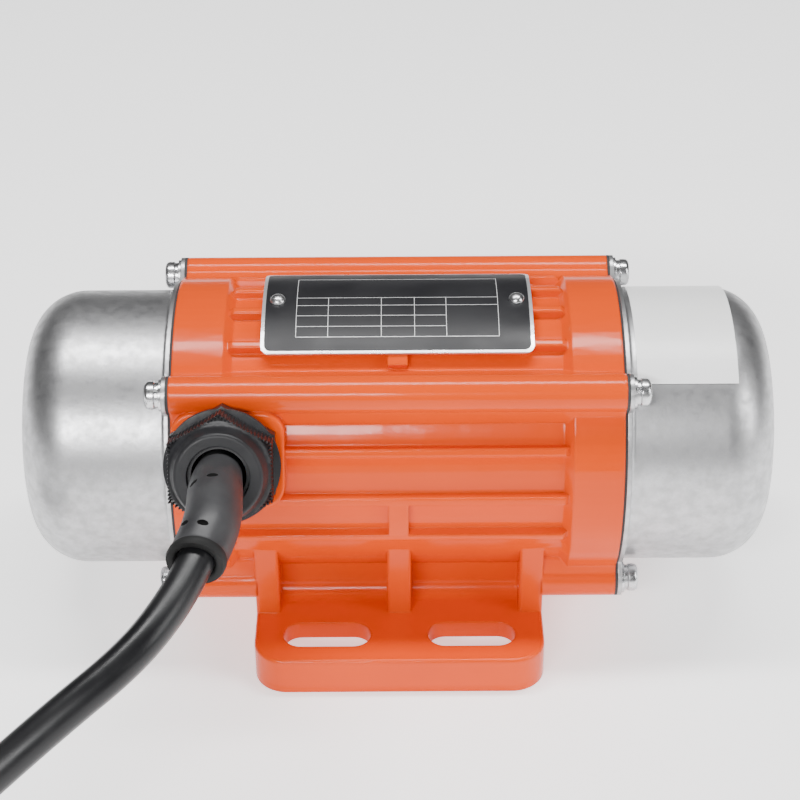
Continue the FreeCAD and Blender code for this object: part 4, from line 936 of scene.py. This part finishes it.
    def core_pieces(self) -> list[Piece]:
        """Dress each bare core in its own colour, and the ferrules in tin."""
        form = node_form("cable_cores")
        form.faces.index_update()
        cores = [0] * len(form.faces)
        count = 0
        for start in form.faces:
            todo = [start]
            count += not cores[start.index]
            while todo:
                face = todo.pop()
                if not cores[face.index]:
                    cores[face.index] = count
                    todo += [other for edge in face.edges for other in edge.link_faces]
        finishes = [core_finish(name) for name in CORE_COLOURS]
        piece = add_piece("bare_end_cores", to_mesh(form, "bare_end_cores", 32.0, outward=False),
                          finishes[0], "cable_cores")
        for finish in finishes[1:]:
            piece.data.materials.append(finish.material())
        piece.data.polygons.foreach_set("material_index", [core - 1 for core in cores])
        return [piece, merged_copy("bare_end_ferrules", "core_ferrules", FERRULE_TIN)]

    def build(self, pieces: list[Piece]) -> None:
        cable = self.curve("cable_cord", self.diameter / 2 * MM)
        cable.data.materials.append(CABLE_JACKET.material())
        settle(cable, CABLE_JACKET, "cable_inner", "cable_lead", "cable_coil")
        bare = baked("cable_line", self.curve("cable_line", 0.0))
        line = [vertex.co.copy() for vertex in bare.vertices]
        boot = settle(link("cable_boot_sleeve", self.boot_mesh(line)), BOOT_RUBBER, "cable_boot")
        tie = add_piece("coil_tie_strap", self.tie_mesh(), TIE_STRAP, "cable_tie")
        tuple(self.gland.spot(self.starts[0]))
        self.core_pieces()


# Inner parts

@dataclass
class Drive:
    """The stator, the rotor, the bearings and the eccentric weights, dressed where they stand."""

    single: dict[Finish, str] = field(default_factory=lambda: {
        LAMINATION: "stator_core rotor_core", WINDING: "stator_winding", SHIELD_METAL: "rotor_cage",
        TURNED_STEEL: "shaft wave_washer", core_finish("black"): "lead_wires"})
    paired: dict[Finish, str] = field(default_factory=lambda: {
        SHIELD_METAL: "end_shield", CAGE_BRASS: "bearing_cage",
        BEARING_STEEL: "bearing_outer_ring bearing_inner_ring bearing_balls",
        WEIGHT_STEEL: "fixed_weight adjustable_weight",
        TURNED_STEEL: "weight_set_screw weight_key inner_sleeve weight_spacer end_washer shaft_nut"})

    def build(self) -> None:
        """Give each inner node its material; the nodes keep their own shapes."""
        dressed = {name: finish for finish, names in self.single.items() for name in names.split()}
        for side in Side:
            dressed.update({f"{side.word}_{name}": finish for finish, names in self.paired.items()
                            for name in names.split()})
        for name, finish in dressed.items():
            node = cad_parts[name]
            if not node.material_slots:
                node.data.materials.append(finish.material())
            for slot in node.material_slots:
                slot.material = finish.material()
        LOG.info("drive: %d inner nodes dressed", len(dressed))


# Studio

@dataclass(frozen=True)
class SoftBox:
    """One rectangular light; metres and watts."""

    name: str
    place: Triple
    aim: Triple
    size: Pair
    power: float

    def hang(self) -> None:
        """Hang the light at its place, facing its aim."""
        data = bpy.data.lights.new(self.name, "AREA")
        data.shape = "RECTANGLE"
        data.size, data.size_y = self.size
        data.energy = self.power
        lamp = link(self.name, data)
        lamp.location = self.place
        lamp.rotation_euler = (Vector(self.aim) - Vector(self.place)).to_track_quat("-Z", "Y").to_euler()


@dataclass
class Studio:
    """The floor, the lights and the camera at the photograph's angle; millimetres and degrees."""

    camera_place: Triple = (0.59, -496.8, 396.6)
    camera_tilt: float = 56.0
    camera_roll: float = -0.36
    lens: float = 91.9
    sensor_width: float = 36.0
    floor_size: float = 4.0
    floor_shade: float = 0.9
    floor_glow: float = 0.95
    air_glow: float = 0.1
    soft_boxes: tuple[SoftBox, ...] = (
        SoftBox("soft_box_top", (0.0, 0.1, 0.9), (0.0, 0.0, 0.05), (0.9, 0.12), 11),
        SoftBox("soft_box_front", (-0.25, -0.8, 0.55), (0.0, 0.0, 0.05), (0.5, 0.1), 8),
        SoftBox("soft_box_right", (0.75, -0.35, 0.45), (0.05, 0.0, 0.05), (0.3, 0.5), 3.5))

    def floor(self) -> None:
        """Lay the plain pale floor."""
        form = bmesh.new()
        bmesh.ops.create_grid(form, x_segments=8, y_segments=8, size=self.floor_size)
        pale = bpy.data.materials.new("studio_floor_white")
        pale.use_nodes = True
        feed(pale.node_tree, pale.node_tree.nodes["Principled BSDF"], {
            "Base Color": (self.floor_shade, self.floor_shade, self.floor_shade, 1.0), "Roughness": 0.9,
            "Emission Color": (1.0, 1.0, 1.0, 1.0), "Emission Strength": self.floor_glow})
        ground = link("studio_floor", to_mesh(form, "studio_floor", outward=False))
        ground.data.materials.append(pale)

    def build(self) -> None:
        """Set the floor, the lights, the world and the camera."""
        self.floor()
        world = bpy.data.worlds.new("studio_air")
        world.use_nodes = True
        feed(world.node_tree, world.node_tree.nodes["Background"],
             {"Color": (1.0, 1.0, 1.0, 1.0), "Strength": self.air_glow})
        bpy.context.scene.world = world
        for soft_box in self.soft_boxes:
            soft_box.hang()
        data = bpy.data.cameras.new("photo_camera")
        data.lens = self.lens
        data.sensor_width = self.sensor_width
        data.dof.use_dof = False
        camera = link("photo_camera", data)
        camera.matrix_world = (Matrix.Translation(Vector(self.camera_place) * MM)
                               @ Matrix.Rotation(math.radians(self.camera_tilt), 4, "X")
                               @ Matrix.Rotation(math.radians(self.camera_roll), 4, "Z"))
        bpy.context.scene.camera = camera
        LOG.info("studio: floor, lights and camera")


def main() -> None:
    """Build every sub-assembly in order."""
    logging.basicConfig(level=logging.INFO, format="%(name)s: %(message)s")
    Studio().build()
    gland = Gland()
    Cable(gland).build(gland.build(flat_ribs_tree()))
    merged_copy("housing_casting", "housing", PAINT, crisp=11.0)
    EndCaps().build(bolt_circle_tree())
    Nameplate().build(row_tree())
    Drive().build()
    LOG.info("sizes written")


if __name__ == "__main__":
    main()
